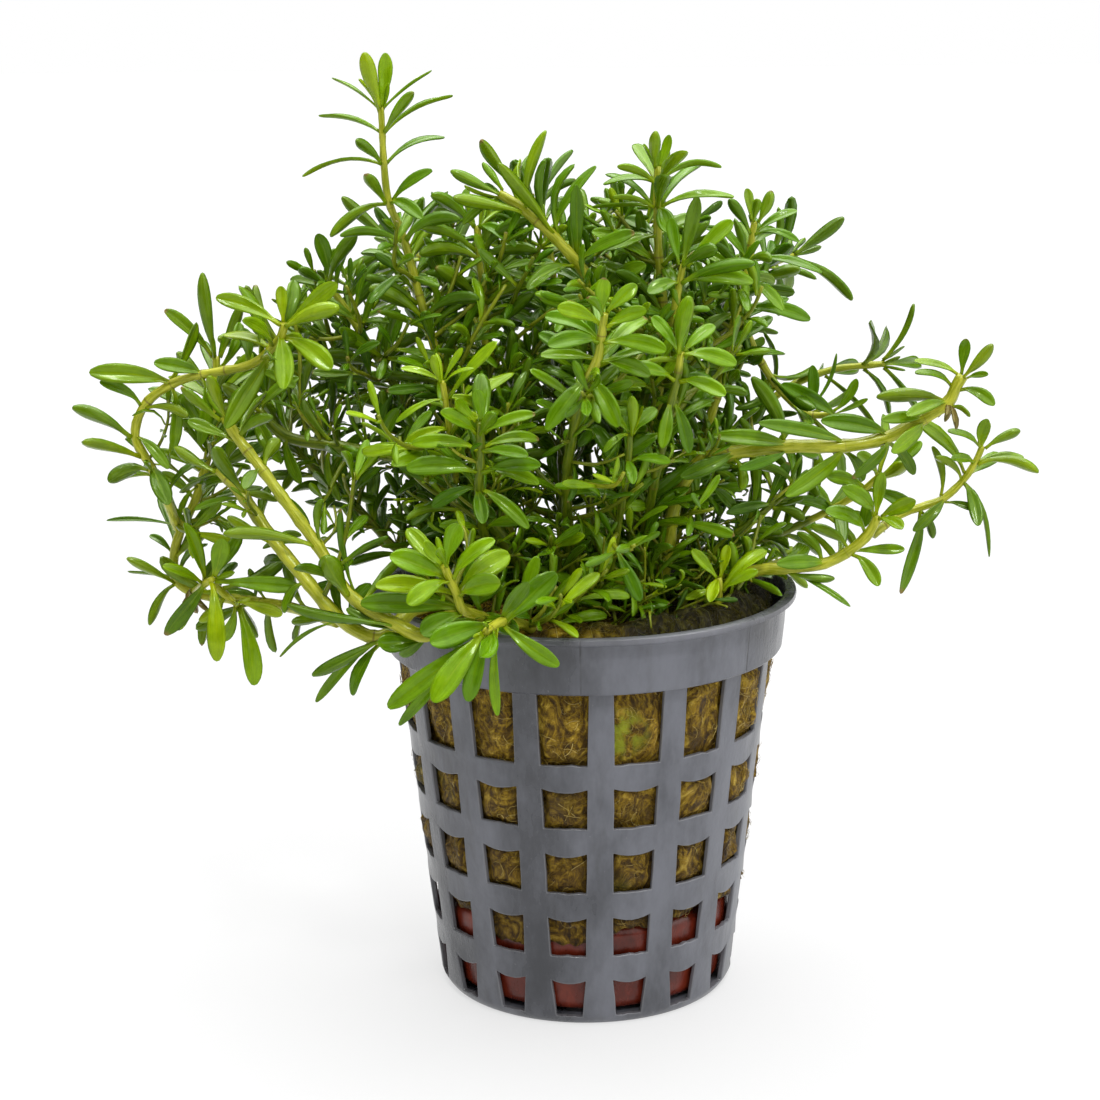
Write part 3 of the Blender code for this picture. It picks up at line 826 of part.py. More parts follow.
def pot_mesh():
    """The pot as one closed mesh: a lattice wall, the collar and lip turned over it, and a slotted floor."""
    points, faces = [], []

    def ring(radius, height, half):
        return window_edges(points, radius, height, half, 1)

    def band(lower, upper, cells):
        """Faces between two rings over the given cells, even ones being windows and odd ones ribs."""
        for cell in cells:
            after = (cell + 1) % (2 * COLUMNS)
            faces.append((lower[cell], lower[after], upper[after], upper[cell]))

    every = range(2 * COLUMNS)
    ribs = range(1, 2 * COLUMNS, 2)
    levels = pot_levels()
    outer = [ring(FOOT_RADIUS if z == 0 else wall_radius(z), z, half) for z, half in levels]
    inner = [ring(wall_radius(max(z, FLOOR)) - WALL, max(z, FLOOR), half) for z, half in levels]
    for k in range(len(levels) - 1):
        cells = every if k % 2 == 0 else ribs
        band(outer[k], outer[k + 1], cells)
        if k > 0:
            band(inner[k + 1], inner[k], cells)
        if k % 2 == 0:
            continue
        for cell in range(0, 2 * COLUMNS, 2):
            after = cell + 1
            rim_out = (outer[k][cell], outer[k][after], outer[k + 1][after], outer[k + 1][cell])
            rim_in = (inner[k][cell], inner[k][after], inner[k + 1][after], inner[k + 1][cell])
            for i in range(4):
                j = (i + 1) % 4
                faces.append((rim_out[i], rim_out[j], rim_in[j], rim_in[i]))
    # The floor's inside meets the wall's inside just under the first windows
    band(inner[1], inner[0], every)
    turned = [outer[-1]] + [ring(radius, z, levels[-1][1]) for radius, z in COLLAR_PROFILE] + [inner[-1]]
    for lower, upper in zip(turned, turned[1:]):
        band(lower, upper, every)
    floor_faces(points, faces, outer[0], inner[0])
    return points, faces


def floor_faces(points, faces, under, over):
    """The floor's two sides, with a slot under every other window."""
    inner_reach, outer_reach = SLOT_REACH

    def slot_corners(radius, height):
        return window_edges(points, radius, height, WINDOW_ROWS[0][2], COLUMNS // FLOOR_SLOTS)

    step = 2 * COLUMNS // FLOOR_SLOTS
    sides = []
    for edge, height in ((under, 0.0), (over, FLOOR)):
        far, near = slot_corners(outer_reach, height), slot_corners(inner_reach, height)
        found = [tuple(near)]
        for slot in range(FLOOR_SLOTS):
            a, b, c = 2 * slot, 2 * slot + 1, (2 * slot + 2) % (2 * FLOOR_SLOTS)
            first = step * slot
            found.append((far[b], far[a], edge[first], edge[first + 1]))
            around = [edge[(first + i) % (2 * COLUMNS)] for i in range(1, step + 1)]
            found.append((near[b], far[b], *around, far[c], near[c]))
        sides.append((far, near))
        faces.extend(found if height else [tuple(reversed(face)) for face in found])
    (far_under, near_under), (far_over, near_over) = sides
    for slot in range(FLOOR_SLOTS):
        a, b = 2 * slot, 2 * slot + 1
        low = (near_under[a], near_under[b], far_under[b], far_under[a])
        high = (near_over[a], near_over[b], far_over[b], far_over[a])
        for i in range(4):
            j = (i + 1) % 4
            faces.append((low[i], low[j], high[j], high[i]))


def turned_mesh(profile, sides, closed):
    """A profile of (radius, height) turned round Z. An open profile gets a flat face on each end."""
    points, faces = [], []
    for radius, height in profile:
        points += [on_circle(radius, 2 * math.pi * k / sides, height) for k in range(sides)]
    rows = len(profile)
    for row in range(rows if closed else rows - 1):
        here, there = row * sides, (row + 1) % rows * sides
        for k in range(sides):
            after = (k + 1) % sides
            faces.append((here + k, here + after, there + after, there + k))
    if not closed:
        faces.append(tuple(reversed(range(sides))))
        faces.append(tuple(range((rows - 1) * sides, rows * sides)))
    return points, faces


def plug_profile():
    """The plug from its foot, pressed into the clay ring, up the inside of the pot's wall."""
    inside = [(wall_radius(z) - WALL - GAP - 0.1, z) for z in (RING_TOP + GAP, 30.0, 47.6)]
    return [(RING_HOLE_RADIUS - GAP - 0.1, RING_FOOT + 0.6), (RING_HOLE_RADIUS - GAP - 0.1, RING_TOP + GAP),
            *inside, (PLUG_FLAT_RADIUS, PLUG_TOP)]


def build_pot():
    grey = material("grey_plastic", (0.16, 0.165, 0.18), 0.45)
    add_object("net_pot", *pot_mesh(), grey, math.radians(30))
    clay = material("clay", (0.33, 0.10, 0.06), 0.6)
    profile = ((RING_HOLE_RADIUS, RING_TOP), (RING_HOLE_RADIUS, RING_FOOT), (RING_RADIUS_FOOT, RING_FOOT),
               (RING_RADIUS_TOP, RING_TOP))
    add_object("clay_ring", *turned_mesh(profile, PLUG_SIDES, closed=True), clay, math.radians(30))
    wool = material("rockwool", (0.20, 0.14, 0.04), 0.95)
    add_object("rockwool", *turned_mesh(plug_profile(), PLUG_SIDES, closed=False), wool, math.radians(35))


def build_shoots(stems):
    looks = {tone: material(f"{tone}_leaves", colour, 0.4) for tone, colour in TONES.items()}
    for name, stem in stems.items():
        add_object(name, *shoot_mesh(stem), looks[stem.shoot.tone])


def main():
    for old in list(bpy.data.objects):
        bpy.data.objects.remove(old, do_unlink=True)
    stems = grow_plant()
    build_pot()
    build_shoots(stems)
    return stems


PLANT = main()
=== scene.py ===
"""A rotala in its net pot: the looks of the pot, the clay ring, the rockwool and every shoot.

Everything is drawn in millimetres, with the pot's axis on Z and its foot on Z = 0, and scaled to
metres when the meshes are made. A stem's points and the leaves that it carries are placed as they
are seen from EYE: (across, up) in the upright plane through the pot's axis, and then so many
millimetres nearer to the eye.
"""

import math
import random
from collections import namedtuple
from itertools import permutations

import bpy
import numpy as np
from mathutils import Matrix, Vector, noise
from mathutils.bvhtree import BVHTree


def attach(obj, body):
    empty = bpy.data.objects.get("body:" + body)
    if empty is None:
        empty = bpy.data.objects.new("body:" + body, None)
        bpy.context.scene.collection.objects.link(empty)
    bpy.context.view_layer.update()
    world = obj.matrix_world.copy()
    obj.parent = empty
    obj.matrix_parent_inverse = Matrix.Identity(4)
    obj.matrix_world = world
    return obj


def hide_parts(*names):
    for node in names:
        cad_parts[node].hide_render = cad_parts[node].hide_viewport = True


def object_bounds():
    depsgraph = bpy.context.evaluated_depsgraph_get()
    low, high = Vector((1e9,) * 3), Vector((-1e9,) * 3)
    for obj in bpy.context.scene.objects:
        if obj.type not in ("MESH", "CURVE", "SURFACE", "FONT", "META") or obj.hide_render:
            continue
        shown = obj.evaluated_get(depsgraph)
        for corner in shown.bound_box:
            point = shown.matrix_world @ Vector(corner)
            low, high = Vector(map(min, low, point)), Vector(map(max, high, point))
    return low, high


MM = 0.001
GAP = 0.3  # left between neighbouring pieces
FULL_TURN = 6.28  # radians, to within a fifth of a degree

# The pot
LIP_DIAMETER = 55.0
POT_HEIGHT = 53.1
COLUMNS = 16
FIRST_COLUMN = -0.128  # radians round from the front, towards +X
WALL_RADIUS_FOOT = 19.3
WALL_RADIUS_COLLAR = 24.45
COLLAR_FOOT = 45.6
# Every row of windows: lower edge, upper edge, and half its width at each, in radians
WINDOW_ROWS = (
    (1.3, 6.4, 0.083, 0.110),
    (9.8, 15.2, 0.110, 0.117),
    (18.6, 24.1, 0.116, 0.121),
    (27.4, 32.8, 0.121, 0.125),
    (35.9, COLLAR_FOOT, 0.124, 0.132),
)
FLOOR = 1.2
FLOOR_SLOTS = 8
SLOT_REACH = (6.0, 14.5)

# The clay ring that weighs the pot down
RING_RADIUS_FOOT = 18.0
RING_RADIUS_TOP = 19.0
RING_HOLE_RADIUS = 11.2
RING_FOOT = 1.6
RING_TOP = 13.3

# The rockwool plug
PLUG_TOP = 50.2
PLUG_FLAT_RADIUS = 19.6

# The plant
EYE = Vector((-4.4, -298.4, 127.6))
LEAF_WIDTH = 2.4
LEAF_DEPTH = 0.4
LEAF_WIDEST = 0.66  # share of its length
TIP_SHARE = 0.5  # how wide the blunt tip is against the widest place
SEED = 11

Shoot = namedtuple("Shoot", "name start radii tone points")
Point = namedtuple("Point", "across up near leaves more")
LeafSpec = namedtuple("LeafSpec", "across up nearer width face")
Leaf = namedtuple("Leaf", "ring side base edge lift tip width face")
Section = namedtuple("Section", "middle across normal half depth")

BRIGHT, GREEN, DARK = "bright", "green", "dark"


def at(across, up, near, *leaves, more=0):
    """A point of a shoot, the leaves seen at it, and how many more grow there turned away from the eye."""
    return Point(across, up, near, tuple(leaf(*values) for values in leaves), more)


def leaf(across, up, nearer=0.0, width=LEAF_WIDTH, face=0.6):
    """A leaf by its tip. face turns the blade to the eye and 1 shows it flat on. Below 0 its pale side
    shows."""
    return LeafSpec(across, up, nearer, width, face)


def root(x, y):
    """The start of a stem that stands in the rockwool."""
    return ("root", x, y)


def fork(parent, index):
    """The start of a stem that another one carries at one of its points."""
    return ("fork", parent, index)


SHOOTS = (
    Shoot("tall_left_shoot", root(-6, 2), (0.75, 0.42), GREEN, (
        at(-9.5, 60, 4), at(-14, 70, 3), at(-17.5, 80, 2, more=2),
        at(-20, 88.5, 1, (-27, 92, 3), (-13, 90.5, 4), more=1),
        at(-22.4, 98, 0, (-30.5, 98.6, 2, 2.0), (-15.2, 100.5, 3, 2.2), more=1),
        at(-24.2, 102.7, 0, (-31.7, 98.4, 1, 1.8), (-27, 106.3, 3, 1.9), (-18.7, 106.6, 2, 1.9),
           (-20, 100.6, 5, 2.0)),
        at(-24.7, 107.5, 0, (-35, 106, -2, 1.5, 0), (-17, 110.7, -2, 1.6, 0.2), (-28.2, 110.4, 3, 1.6)),
        at(-24.8, 111.4, 0, (-32.7, 113.5, -2, 1.4, 0), (-15.9, 115.8, -2, 1.4, 0), (-20.8, 116.3, 3, 1.7)),
        at(-24.9, 114.4, 0, (-30.9, 118.1, -2, 1.1, 0), (-18.5, 118.9, -2, 1.2, 0),
           (-26.8, 121.1, 1.5, 2.3, 0.9), (-24.2, 121, -1, 2.2, 0.9)),
    )),
    Shoot("front_left_stem", root(-12.5, -11.5), (0.95, 0.65), GREEN, (
        at(-15.2, 49.6, 16.5), at(-18.2, 48.6, 22), at(-20.8, 46.4, 26, (-27, 45.6, 1, 3.0)),
        at(-24.8, 48.1, 25.5, (-31, 50.2, -2, 1.8, -0.6)),
        at(-30.4, 51.9, 22, (-38.7, 50.7, 1, 1.7), (-33.6, 57.3, 2, 3.2), (-31.4, 63.5, -2, 1.3)),
        at(-34.6, 58.8, 19, (-46.7, 60.3, 2, 2.0), (-33.8, 64.8, 1, 1.5)),
        at(-38.8, 65, 17, (-35.4, 61, -2, 1.4), (-41.7, 58.3, -3, 1.0)),
        at(-41.5, 69, 15.5, (-43.7, 66.2, 3, 2.0), (-38.9, 72.6, -2, 2.2), more=1),
        at(-44.4, 73, 14, (-50.6, 75.2, -1, 2.0), (-39.6, 75.6, 1, 2.0), more=1),
        at(-45.8, 75.6, 13, (-51.2, 79.6, 0, 2.0), (-42.6, 79.4, 1, 2.2), (-47.6, 81, 2, 1.8)),
    )),
    Shoot("lower_left_stem", root(-16, -6.5), (0.95, 0.75), GREEN, (
        at(-18.4, 50.4, 15), at(-22.2, 50, 20),
        at(-26.8, 46.2, 22.5, (-35.8, 41.1, 2, 2.0), (-30.6, 38.3, 1, 2.2), (-35.4, 37.4, -1, 1.5)),
        at(-32, 48.9, 21.5, (-40, 43.7, 1, 1.1, 0.3), (-39.2, 49.6, -1, 1.6, -0.5)),
        at(-36.2, 54.1, 19.5, (-32.6, 53.9, 2, 1.4), (-36.5, 60, -3, 1.2)),
        at(-40.3, 59.6, 16.5, (-46, 62.6, 0, 1.9)),
        at(-44, 65.4, 13.5, (-39.4, 64.6, 1, 1.6), (-50.3, 63.5, -2, 1.4), more=1),
        at(-46.8, 68.8, 11.5, (-52.4, 71.8, -2, 1.8), (-43, 74.3, -3, 2.2), more=1),
    )),
    Shoot("left_side_stem", fork("lower_left_stem", 4), (0.78, 0.55), GREEN, (
        at(-38.4, 50.4, 17), at(-44.6, 51.4, 12.5), at(-49.8, 52.2, 10.2, (-47.4, 57.2, -2, 1.6)),
        at(-52.9, 54, 9.6, (-56.8, 48.1, 2, 1.5), (-59.3, 57.2, 1, 1.6)),
        at(-53.1, 57.6, 9.6, (-56.2, 60.2, -2, 1.2), (-48.8, 60.4, 1, 1.9)),
        at(-51.9, 61.3, 9.6, (-61.7, 62.2, -1, 0.9, 0.2), (-48, 64.4, 2, 1.6)),
        at(-50, 64.8, 9.6, (-54.4, 68.4, -2, 1.6), more=1),
        at(-48.7, 68.8, 9.6, (-54.8, 71.4, 1, 1.9), (-44.6, 72.4, -3, 2.0)),
        at(-47.6, 73, 9.3, (-52.4, 76.8, -2, 1.9), (-42.6, 76.4, -2, 2.0)),
        at(-46.9, 78.4, 8.6, (-51.6, 84, -1, 2.0), (-42, 83.8, -1, 2.2), more=1),
        at(-46.6, 83.4, 7.6, (-52.9, 89.4, 1, 2.2), (-47.9, 94.1, 0, 2.0, 0.8), (-43.2, 90, 0, 2.0)),
    )),
    Shoot("left_arch_stem", fork("left_side_stem", 6), (0.7, 0.55), BRIGHT, (
        at(-53.8, 65, 7.6), at(-55.6, 69.2, 7.5, (-61.2, 67.3, 2, 2.5), (-53.5, 64.2, 4, 2.7)),
        at(-57.4, 73.2, 7, (-65.3, 77, 1, 2.3), (-53.3, 68.9, 1, 1.8)),
        at(-56, 77.2, 7, (-61.6, 80.3, 2, 1.7), (-50.4, 75.7, 3, 1.7)),
        at(-52.4, 79.9, 7.5, (-62.9, 81.5, 2, 2.9, 0.8), (-52.7, 71.2, 2, 1.8), more=1),
        at(-48.4, 81.1, 8.5, (-49.2, 71.9, 3, 2.0, 0.8), (-54.6, 82.7, 0, 2.2)),
        at(-42.6, 82.2, 10.5, (-36.6, 79.4, -1, 1.7), (-43.2, 87, -3, 2.0)),
        at(-39.7, 84.2, 12, (-45.9, 74.1, 3, 2.8, 0.8), (-45.6, 86.2, -2, 2.3, 0.3)),
        at(-38.2, 86, 13, (-38.3, 79.1, 5, 2.9, 0.9), (-32, 81.6, 3, 3.0, 0.8), (-35.6, 84.2, -4, 2.0)),
        at(-37.8, 87.5, 13.5, (-46.4, 90.9, -1, 2.3), (-38.1, 92.3, -1, 1.7, 0.8), (-31, 92.6, 0, 2.5, 0.8),
           (-30.7, 89.5, 3, 2.4, 0.8)),
    )),
    Shoot("lower_left_rosette", fork("left_side_stem", 3), (0.6, 0.45), BRIGHT, (
        at(-49.6, 53.4, 13.2),
        at(-49, 53.9, 14.6, (-54.8, 46.7, 0, 2.4), (-51.6, 61.8, 2, 2.1), (-37.6, 51.4, -2, 2.3)),
        at(-48.3, 54.2, 16, (-48.2, 43.1, 4, 2.7, 0.9), (-37, 53.1, 3, 2.4, 0.8),
           (-46.8, 59.6, 1, 2.7, 0.8)),
    )),
    Shoot("lower_left_side_shoot", fork("lower_left_rosette", 2), (0.55, 0.45), BRIGHT, (
        at(-46.4, 51.9, 12.5),
        at(-45.2, 50.8, 14, (-43.4, 39.8, 3, 2.7, 0.8), (-39.4, 49.4, 2, 2.2), (-47.4, 45.8, -1, 1.8),
           (-50.3, 48.6, -1, 2.0)),
    )),
    Shoot("back_left_stem", root(-14, 0), (0.7, 0.5), DARK, (
        at(-19.5, 55.5, -1), at(-24.4, 58.2, -2), at(-27.5, 61.6, -3, (-25, 66.6, -2, 1.6), more=1),
        at(-31, 65.6, -4, (-25.6, 63.8, -2, 1.6), (-34.8, 61, 2, 1.5), more=1),
        at(-35.4, 69.5, -5, (-30.4, 73.4, 1, 1.8), (-38.7, 66, 1, 1.6), more=1),
        at(-38.4, 73.6, -5, (-43.6, 72.8, -1, 2.2), (-33.6, 77.6, 1, 2.2), more=1),
        at(-40.6, 77.6, -5, (-46.6, 78.6, 0, 2.2), (-37, 84, 0, 2.2), (-42.6, 84.2, -1, 2.2), more=1),
    )),
    Shoot("left_middle_stem", root(-4, -7), (0.9, 0.7), DARK, (
        at(-8.4, 56, 8), at(-14, 64, 8), at(-20, 68.9, 7), at(-26, 70.6, 6, (-23.6, 76.4, 2, 2.2), more=1),
        at(-32.6, 71.8, 5, (-31.4, 64.4, 2, 1.7), (-35.8, 77.8, -1, 2.2), more=1),
        at(-38, 73, 4, (-36.4, 66.8, 3, 1.9), (-43, 70.5, 0, 2.0), more=1),
        at(-41.6, 76.4, 4, (-38.9, 69.6, 4, 2.3, 0.8), (-36.2, 80.6, 0, 2.2), (-46, 79.8, 1, 2.2)),
    )),
    Shoot("upper_left_shoot", root(-10, 5), (0.75, 0.5), DARK, (
        at(-15, 62, -3), at(-20.5, 73, -4, more=2), at(-25.5, 82, -5, (-33, 83.4, 2), (-20, 86, 2), more=1),
        at(-29.6, 88.6, -5, (-36.8, 89.4, 1, 2.2), (-24.6, 93.4, 1, 2.2), more=1),
        at(-32.2, 92.8, -5, (-33.3, 98.8, 0, 2.3, 0.8), (-28.3, 98.7, 3, 2.1, 0.8), (-35.7, 94.6, 3, 1.8),
           (-30.6, 96.8, -3, 2.4, -0.8)),
    )),
    Shoot("centre_stem", root(-8, 8), (0.75, 0.5), GREEN, (
        at(-10.6, 60, 1), at(-11.5, 68, 3), at(-11.9, 76, 4), at(-12.3, 83.6, 4, (-18.5, 81, 2, 2.2)),
        at(-12.5, 90, 3, (-18.6, 94.5, 3, 2.2), (-6, 92.4, 3, 2.2), more=1),
        at(-12.9, 95.6, 2, (-20.6, 96.2, 3, 2.4), (-5.6, 96.4, 2, 2.2), more=1),
        at(-13.2, 99.6, 1, (-18.9, 103.6, 2, 2.4), (-8.4, 97, 5, 2.0), more=2),
    )),
    Shoot("arching_top_shoot", root(1, 4), (0.9, 0.6), GREEN, (
        at(2.6, 60, -2), at(4, 72, -2), at(3.8, 84, -1, more=2),
        at(1.8, 91, 1, (8, 94.6, 2), (-4.6, 88.6, 3), more=1),
        at(-0.8, 95, 3, (-0.7, 104.6, 2, 2.0, 0.9), (6.6, 98.6, 3, 2.3), (-7, 91.6, 4, 2.2)),
        at(-4, 98.6, 4, (-10.5, 107.4, 3, 2.1, 0.8), (1.8, 107, -2, 2.0)),
        at(-7.4, 101.6, 4, (-16.2, 103.2, 2, 2.0, 0.8), (-4.4, 111.4, 0, 1.7, 0.8), more=1),
        at(-10.3, 103.6, 3, (-16.4, 106.5, 0, 1.7), (-12.4, 107.4, -2, 1.5, -0.6), (-15, 99.8, 1, 1.6)),
    )),
    Shoot("bright_centre_shoot", root(-1, -9), (0.8, 0.5), BRIGHT, (
        at(-1.8, 58, 12), at(-2.2, 66, 15), at(-1.2, 74, 19),
        at(0.7, 80.1, 22, (-4.8, 73.5, 3, 2.5, 0.8), (4.5, 73.8, 4, 2.7, 0.9), more=1),
        at(1.9, 82.6, 23, (-5.4, 83.2, 0, 2.0, 0.5), (8.6, 80.4, 0, 2.2), more=1),
        at(2.3, 85, 23.5, (-4.4, 84.4, 3, 2.5, 0.8), (10.6, 83.6, 2, 2.5, 0.8), (-4.8, 88.2, -3, 2.2)),
        at(2.6, 87, 24, (-3.2, 89.2, 1, 2.3, 0.7), (8.1, 88.8, 1, 2.0, 0.7)),
        at(2.8, 88.4, 24.5, (2.8, 92.9, 0, 2.3, 0.8), (6.9, 92, -1, 2.0, 0.7), (0.6, 90.6, 3, 1.5)),
    )),
    Shoot("centre_rosette_shoot", root(-9, -8), (0.75, 0.5), BRIGHT, (
        at(-12, 56, 12), at(-13.3, 62, 16.5),
        at(-13.5, 66, 19, (-13, 61.3, 4, 2.2, 0.9), (-7.1, 60.6, 3, 2.1, 0.8), (-19.6, 63.6, 0, 2.0)),
        at(-13.3, 68.4, 20, (-22.8, 68.6, 1, 2.8, 0.8), (-5.7, 66.5, 1, 2.0, 0.7),
           (-5.5, 68.9, 3, 2.2, 0.7)),
        at(-13.2, 71.2, 20.5, (-22, 71.9, 1, 2.1, 0.7), (-7.1, 70.2, 3, 2.0), (-5.6, 72.3, -2, 2.0)),
        at(-13.2, 73.3, 21, (-18.2, 76, 3, 2.1, 0.8), (-6.1, 75.6, 1, 1.8, 0.7),
           (-11.2, 75.8, 4, 1.9, 0.7)),
        at(-13.3, 74.6, 21.5, (-13.6, 78.8, 0, 1.9, 0.8), (-16.2, 77.5, 1, 1.7, 0.7)),
    )),
    Shoot("slender_yellow_shoot", root(-12, -4), (0.55, 0.38), BRIGHT, (
        at(-14.6, 58, 6), at(-16.4, 67, 10), at(-17.2, 74, 12.5, (-23.2, 71.1, 2, 2.0, 0.7)),
        at(-17.6, 77.8, 14, (-24, 74.7, 1, 1.0, 0.4), (-13.2, 76.4, -2, 1.6)),
        at(-17.9, 80, 14.5, (-23.2, 81.7, 0, 1.2, 0.7), (-19, 83.4, 1, 1.3, 0.8),
           (-15.3, 84.2, 0, 1.0, 0.6), (-13.9, 81.6, 2, 0.9, 0.4)),
    )),
    Shoot("front_cluster_shoot", root(-8.5, -16), (0.75, 0.5), BRIGHT, (
        at(-13.4, 48.9, 22.4),
        at(-15.8, 49.8, 26.6, (-21.3, 46.6, 3, 3.2, 0.8), (-29.2, 50.8, -3, 3.0, 0.7)),
        at(-16.6, 52, 27.5, (-27.2, 53.2, 0, 2.6, 0.7), (-10.9, 53.4, 3, 3.2, 0.7),
           (-9.6, 57.2, -3, 3.4, 0.7)),
        at(-17.5, 54.1, 28.3, (-25.2, 57.1, 1, 3.1, 0.8), (-11.5, 59.2, 0, 2.3, 0.6),
           (-23, 50.6, 4, 2.6, 0.8)),
        at(-18.2, 55.8, 29, (-16.2, 61.3, -1, 2.7, 0.8), (-20.6, 59, 1, 1.7, 0.8), (-18.9, 58.2, 3, 1.4)),
    )),
    Shoot("front_hanging_shoot", root(-4.5, -17), (0.75, 0.5), BRIGHT, (
        at(-9, 48.2, 26.2),
        at(-10.7, 48.2, 30, (-3.5, 54.6, -2, 3.3, 0.8), (-7.2, 53.4, 3, 2.1, -0.8),
           (-3.3, 42.1, 2, 2.3, 0.8)),
        at(-11.8, 47.7, 32, (-11.5, 35.3, 1, 1.5, 0.6), (-24.6, 34.1, -1, 1.6, 0.6),
           (-20.2, 45.4, 3, 3.3, 0.8)),
        at(-12.4, 47.2, 33.1, (-26, 36.6, 2, 3.0, 0.8), (-13.6, 43.6, 7, 2.6, 0.8)),
        at(-12.9, 46.8, 34.1, (-15.4, 37.3, 2, 2.5, 0.8), (-20, 37.3, 3, 3.3, 0.8)),
    )),
    Shoot("top_centre_shoot", root(5, 2), (0.8, 0.45), GREEN, (
        at(6.8, 60, 2), at(8.8, 72, 2), at(10.1, 82.5, 2, (4.6, 87.4, -2), more=2),
        at(10.2, 89, 2, (4.2, 93.8, 3, 2.2), more=2),
        at(9.7, 94.6, 2, (1.2, 98.8, 3, 2.4), (15.6, 97.6, -3, 2.2), more=1),
        at(9.5, 98.4, 2, (2.8, 96.6, 3, 2.4), (5.4, 100.4, -4, 2.2), (14, 100.6, -4, 2.0)),
        at(9.4, 101.8, 2, (1.2, 101.9, -1, 1.3, 0.2), (19.1, 103, 0, 1.7, 0.4), (3.8, 103.1, 1, 1.3, 0.3),
           (10.9, 98.6, 6, 2.6, 0.8)),
        at(9.4, 105, 2, (2.6, 104.7, -1, 1.7, 0.4), (17.5, 106.7, 0, 1.6, 0.4), (4.4, 106.9, 1, 1.7, 0.4)),
        at(9.5, 106.8, 2, (9.3, 111.2, 1, 1.9, 0.9), (10.9, 110.7, -1, 1.5, 0.6)),
    )),
    Shoot("right_top_shoot", root(9, 5), (0.8, 0.45), GREEN, (
        at(12, 60, 0), at(15.4, 72, 0), at(18, 81, 0, (12, 80.4, 3, 2.2), more=1),
        at(19.5, 88.4, 0, (28.9, 87.4, 0, 2.2, 0.7), (13.6, 84.6, 3, 2.4), (24.4, 92.2, -3, 1.6, -0.7)),
        at(20.7, 92.6, 0, (14.2, 96.6, -2, 2.0), (25.4, 88.6, 4, 2.0), more=1),
        at(21.1, 95.2, 0, (30.3, 93.4, 1, 1.9, 0.5), (17.6, 99, -1, 1.7, 0.5), (24, 95, 4, 1.8)),
        at(21.4, 98.4, 0, (27.3, 97.3, 1, 1.4, 0.3), (18.4, 102.7, 1, 1.7, 0.6), (27, 101.2, -1, 1.6, 0.5)),
        at(21.7, 99.9, 0, (20.7, 104, -1, 1.7, -0.5), (22.1, 102.7, 2, 1.4, 0.7),
           (23.7, 103.7, 0, 1.7, 0.7)),
    )),
    Shoot("pale_leaf_shoot", fork("top_centre_shoot", 3), (0.6, 0.45), GREEN, (
        at(11.4, 87.6, 8),
        at(12.3, 92.4, 9, (8.3, 91, 2, 2.4), (21.6, 92.2, 1, 2.6, 0.7), (21.8, 94.6, 3, 2.0, -0.9)),
        at(12.7, 94.5, 9.5, (14.5, 103, 0, 2.1, -0.8), (18.9, 100, -1, 2.4, 0.6), (11.2, 100.4, -2, 1.9),
           (17, 96.6, 3, 2.2)),
    )),
    Shoot("middle_right_shoot", root(6, -8), (0.7, 0.5), GREEN, (
        at(7.4, 57, 10), at(9, 66, 14), at(10.5, 73, 17, (5.4, 70, 2, 2.0), more=1),
        at(11.3, 77, 18, (10.1, 71, 3, 2.0, 0.9), (13.6, 70.3, 1, 2.0, 0.8)),
        at(12, 80, 18.5, (4.5, 81.3, 2, 2.2, 0.7), (18.2, 77.8, 3, 2.3, 0.8), (16.8, 79.6, -2, 1.9, 0.6)),
        at(12.5, 83.4, 19, (19.6, 81.8, 0, 2.5, 0.7), (13.6, 90.6, 2, 2.4, -0.9), (8.8, 88, -2, 2.0),
           (16.8, 86.8, -2, 2.0)),
    )),
    Shoot("inner_right_shoot", root(2, -11), (0.55, 0.4), BRIGHT, (
        at(3.6, 56, 14), at(5, 64, 17), at(5.8, 69.6, 19, (6.4, 66.4, 4, 1.6, 0.9), (11.2, 69.2, 1, 1.5)),
        at(6, 73, 19.5, (2.6, 70.6, 2, 1.3), (6.2, 77.9, 1, 1.7, 0.8), (9.4, 76.2, -2, 2.0),
           (3.2, 76, -1, 1.3)),
    )),
    Shoot("right_long_stem", root(9, -5), (0.95, 0.75), GREEN, (
        at(10.6, 56.5, 7), at(12, 64.5, 9), at(15, 69.2, 10, (8.2, 64.4, 2, 2.0)),
        at(19.4, 70.4, 10, (12.4, 67.2, 3, 2.4), (20.4, 65.4, 2, 2.0)),
        at(26, 71.1, 10, (21.5, 80.2, -1, 2.4, 0.8), (16.6, 72.6, 2, 2.4, 0.7), (20, 68.2, 2, 1.6)),
        at(33.5, 71.1, 9.5, (22.4, 74.2, 2, 2.2, 0.8), (26, 64.6, 3, 2.6, 0.8), (36, 66.4, -2, 2.0)),
        at(39, 72.2, 9, (30.4, 74.4, 1, 2.7, 0.8), (34.6, 66.8, 2, 2.0), (42.6, 67.2, -3, 1.8)),
        at(43.5, 74.6, 8.5, (39.6, 70.2, 3, 2.4, 0.8), (38.2, 74.4, 1, 1.8)),
        at(46.6, 76.6, 8, (41.3, 75, 3, 1.9, 0.6), (37.4, 77.4, 0, 2.2, 0.7), (49.6, 74.8, 2, 1.3, 0.3)),
        at(47.6, 78.7, 8, (42.3, 80.6, 1, 1.7, 0.5), (52.6, 76.2, 2, 1.9, 0.7)),
        at(48.4, 80.1, 8, (42.1, 82.1, -1, 1.6, 0.5), (48.7, 84.8, -1, 1.7, 0.9), (52.1, 84.1, 1, 1.7, 0.8),
           (51.6, 80.2, 2, 1.1)),
    )),
    Shoot("low_right_shoot", root(15, -8), (0.85, 0.6), BRIGHT, (
        at(18.6, 52.8, 8.5), at(22.6, 54.8, 9), at(26.6, 55, 9.5, (32.6, 53.6, 1, 1.4)),
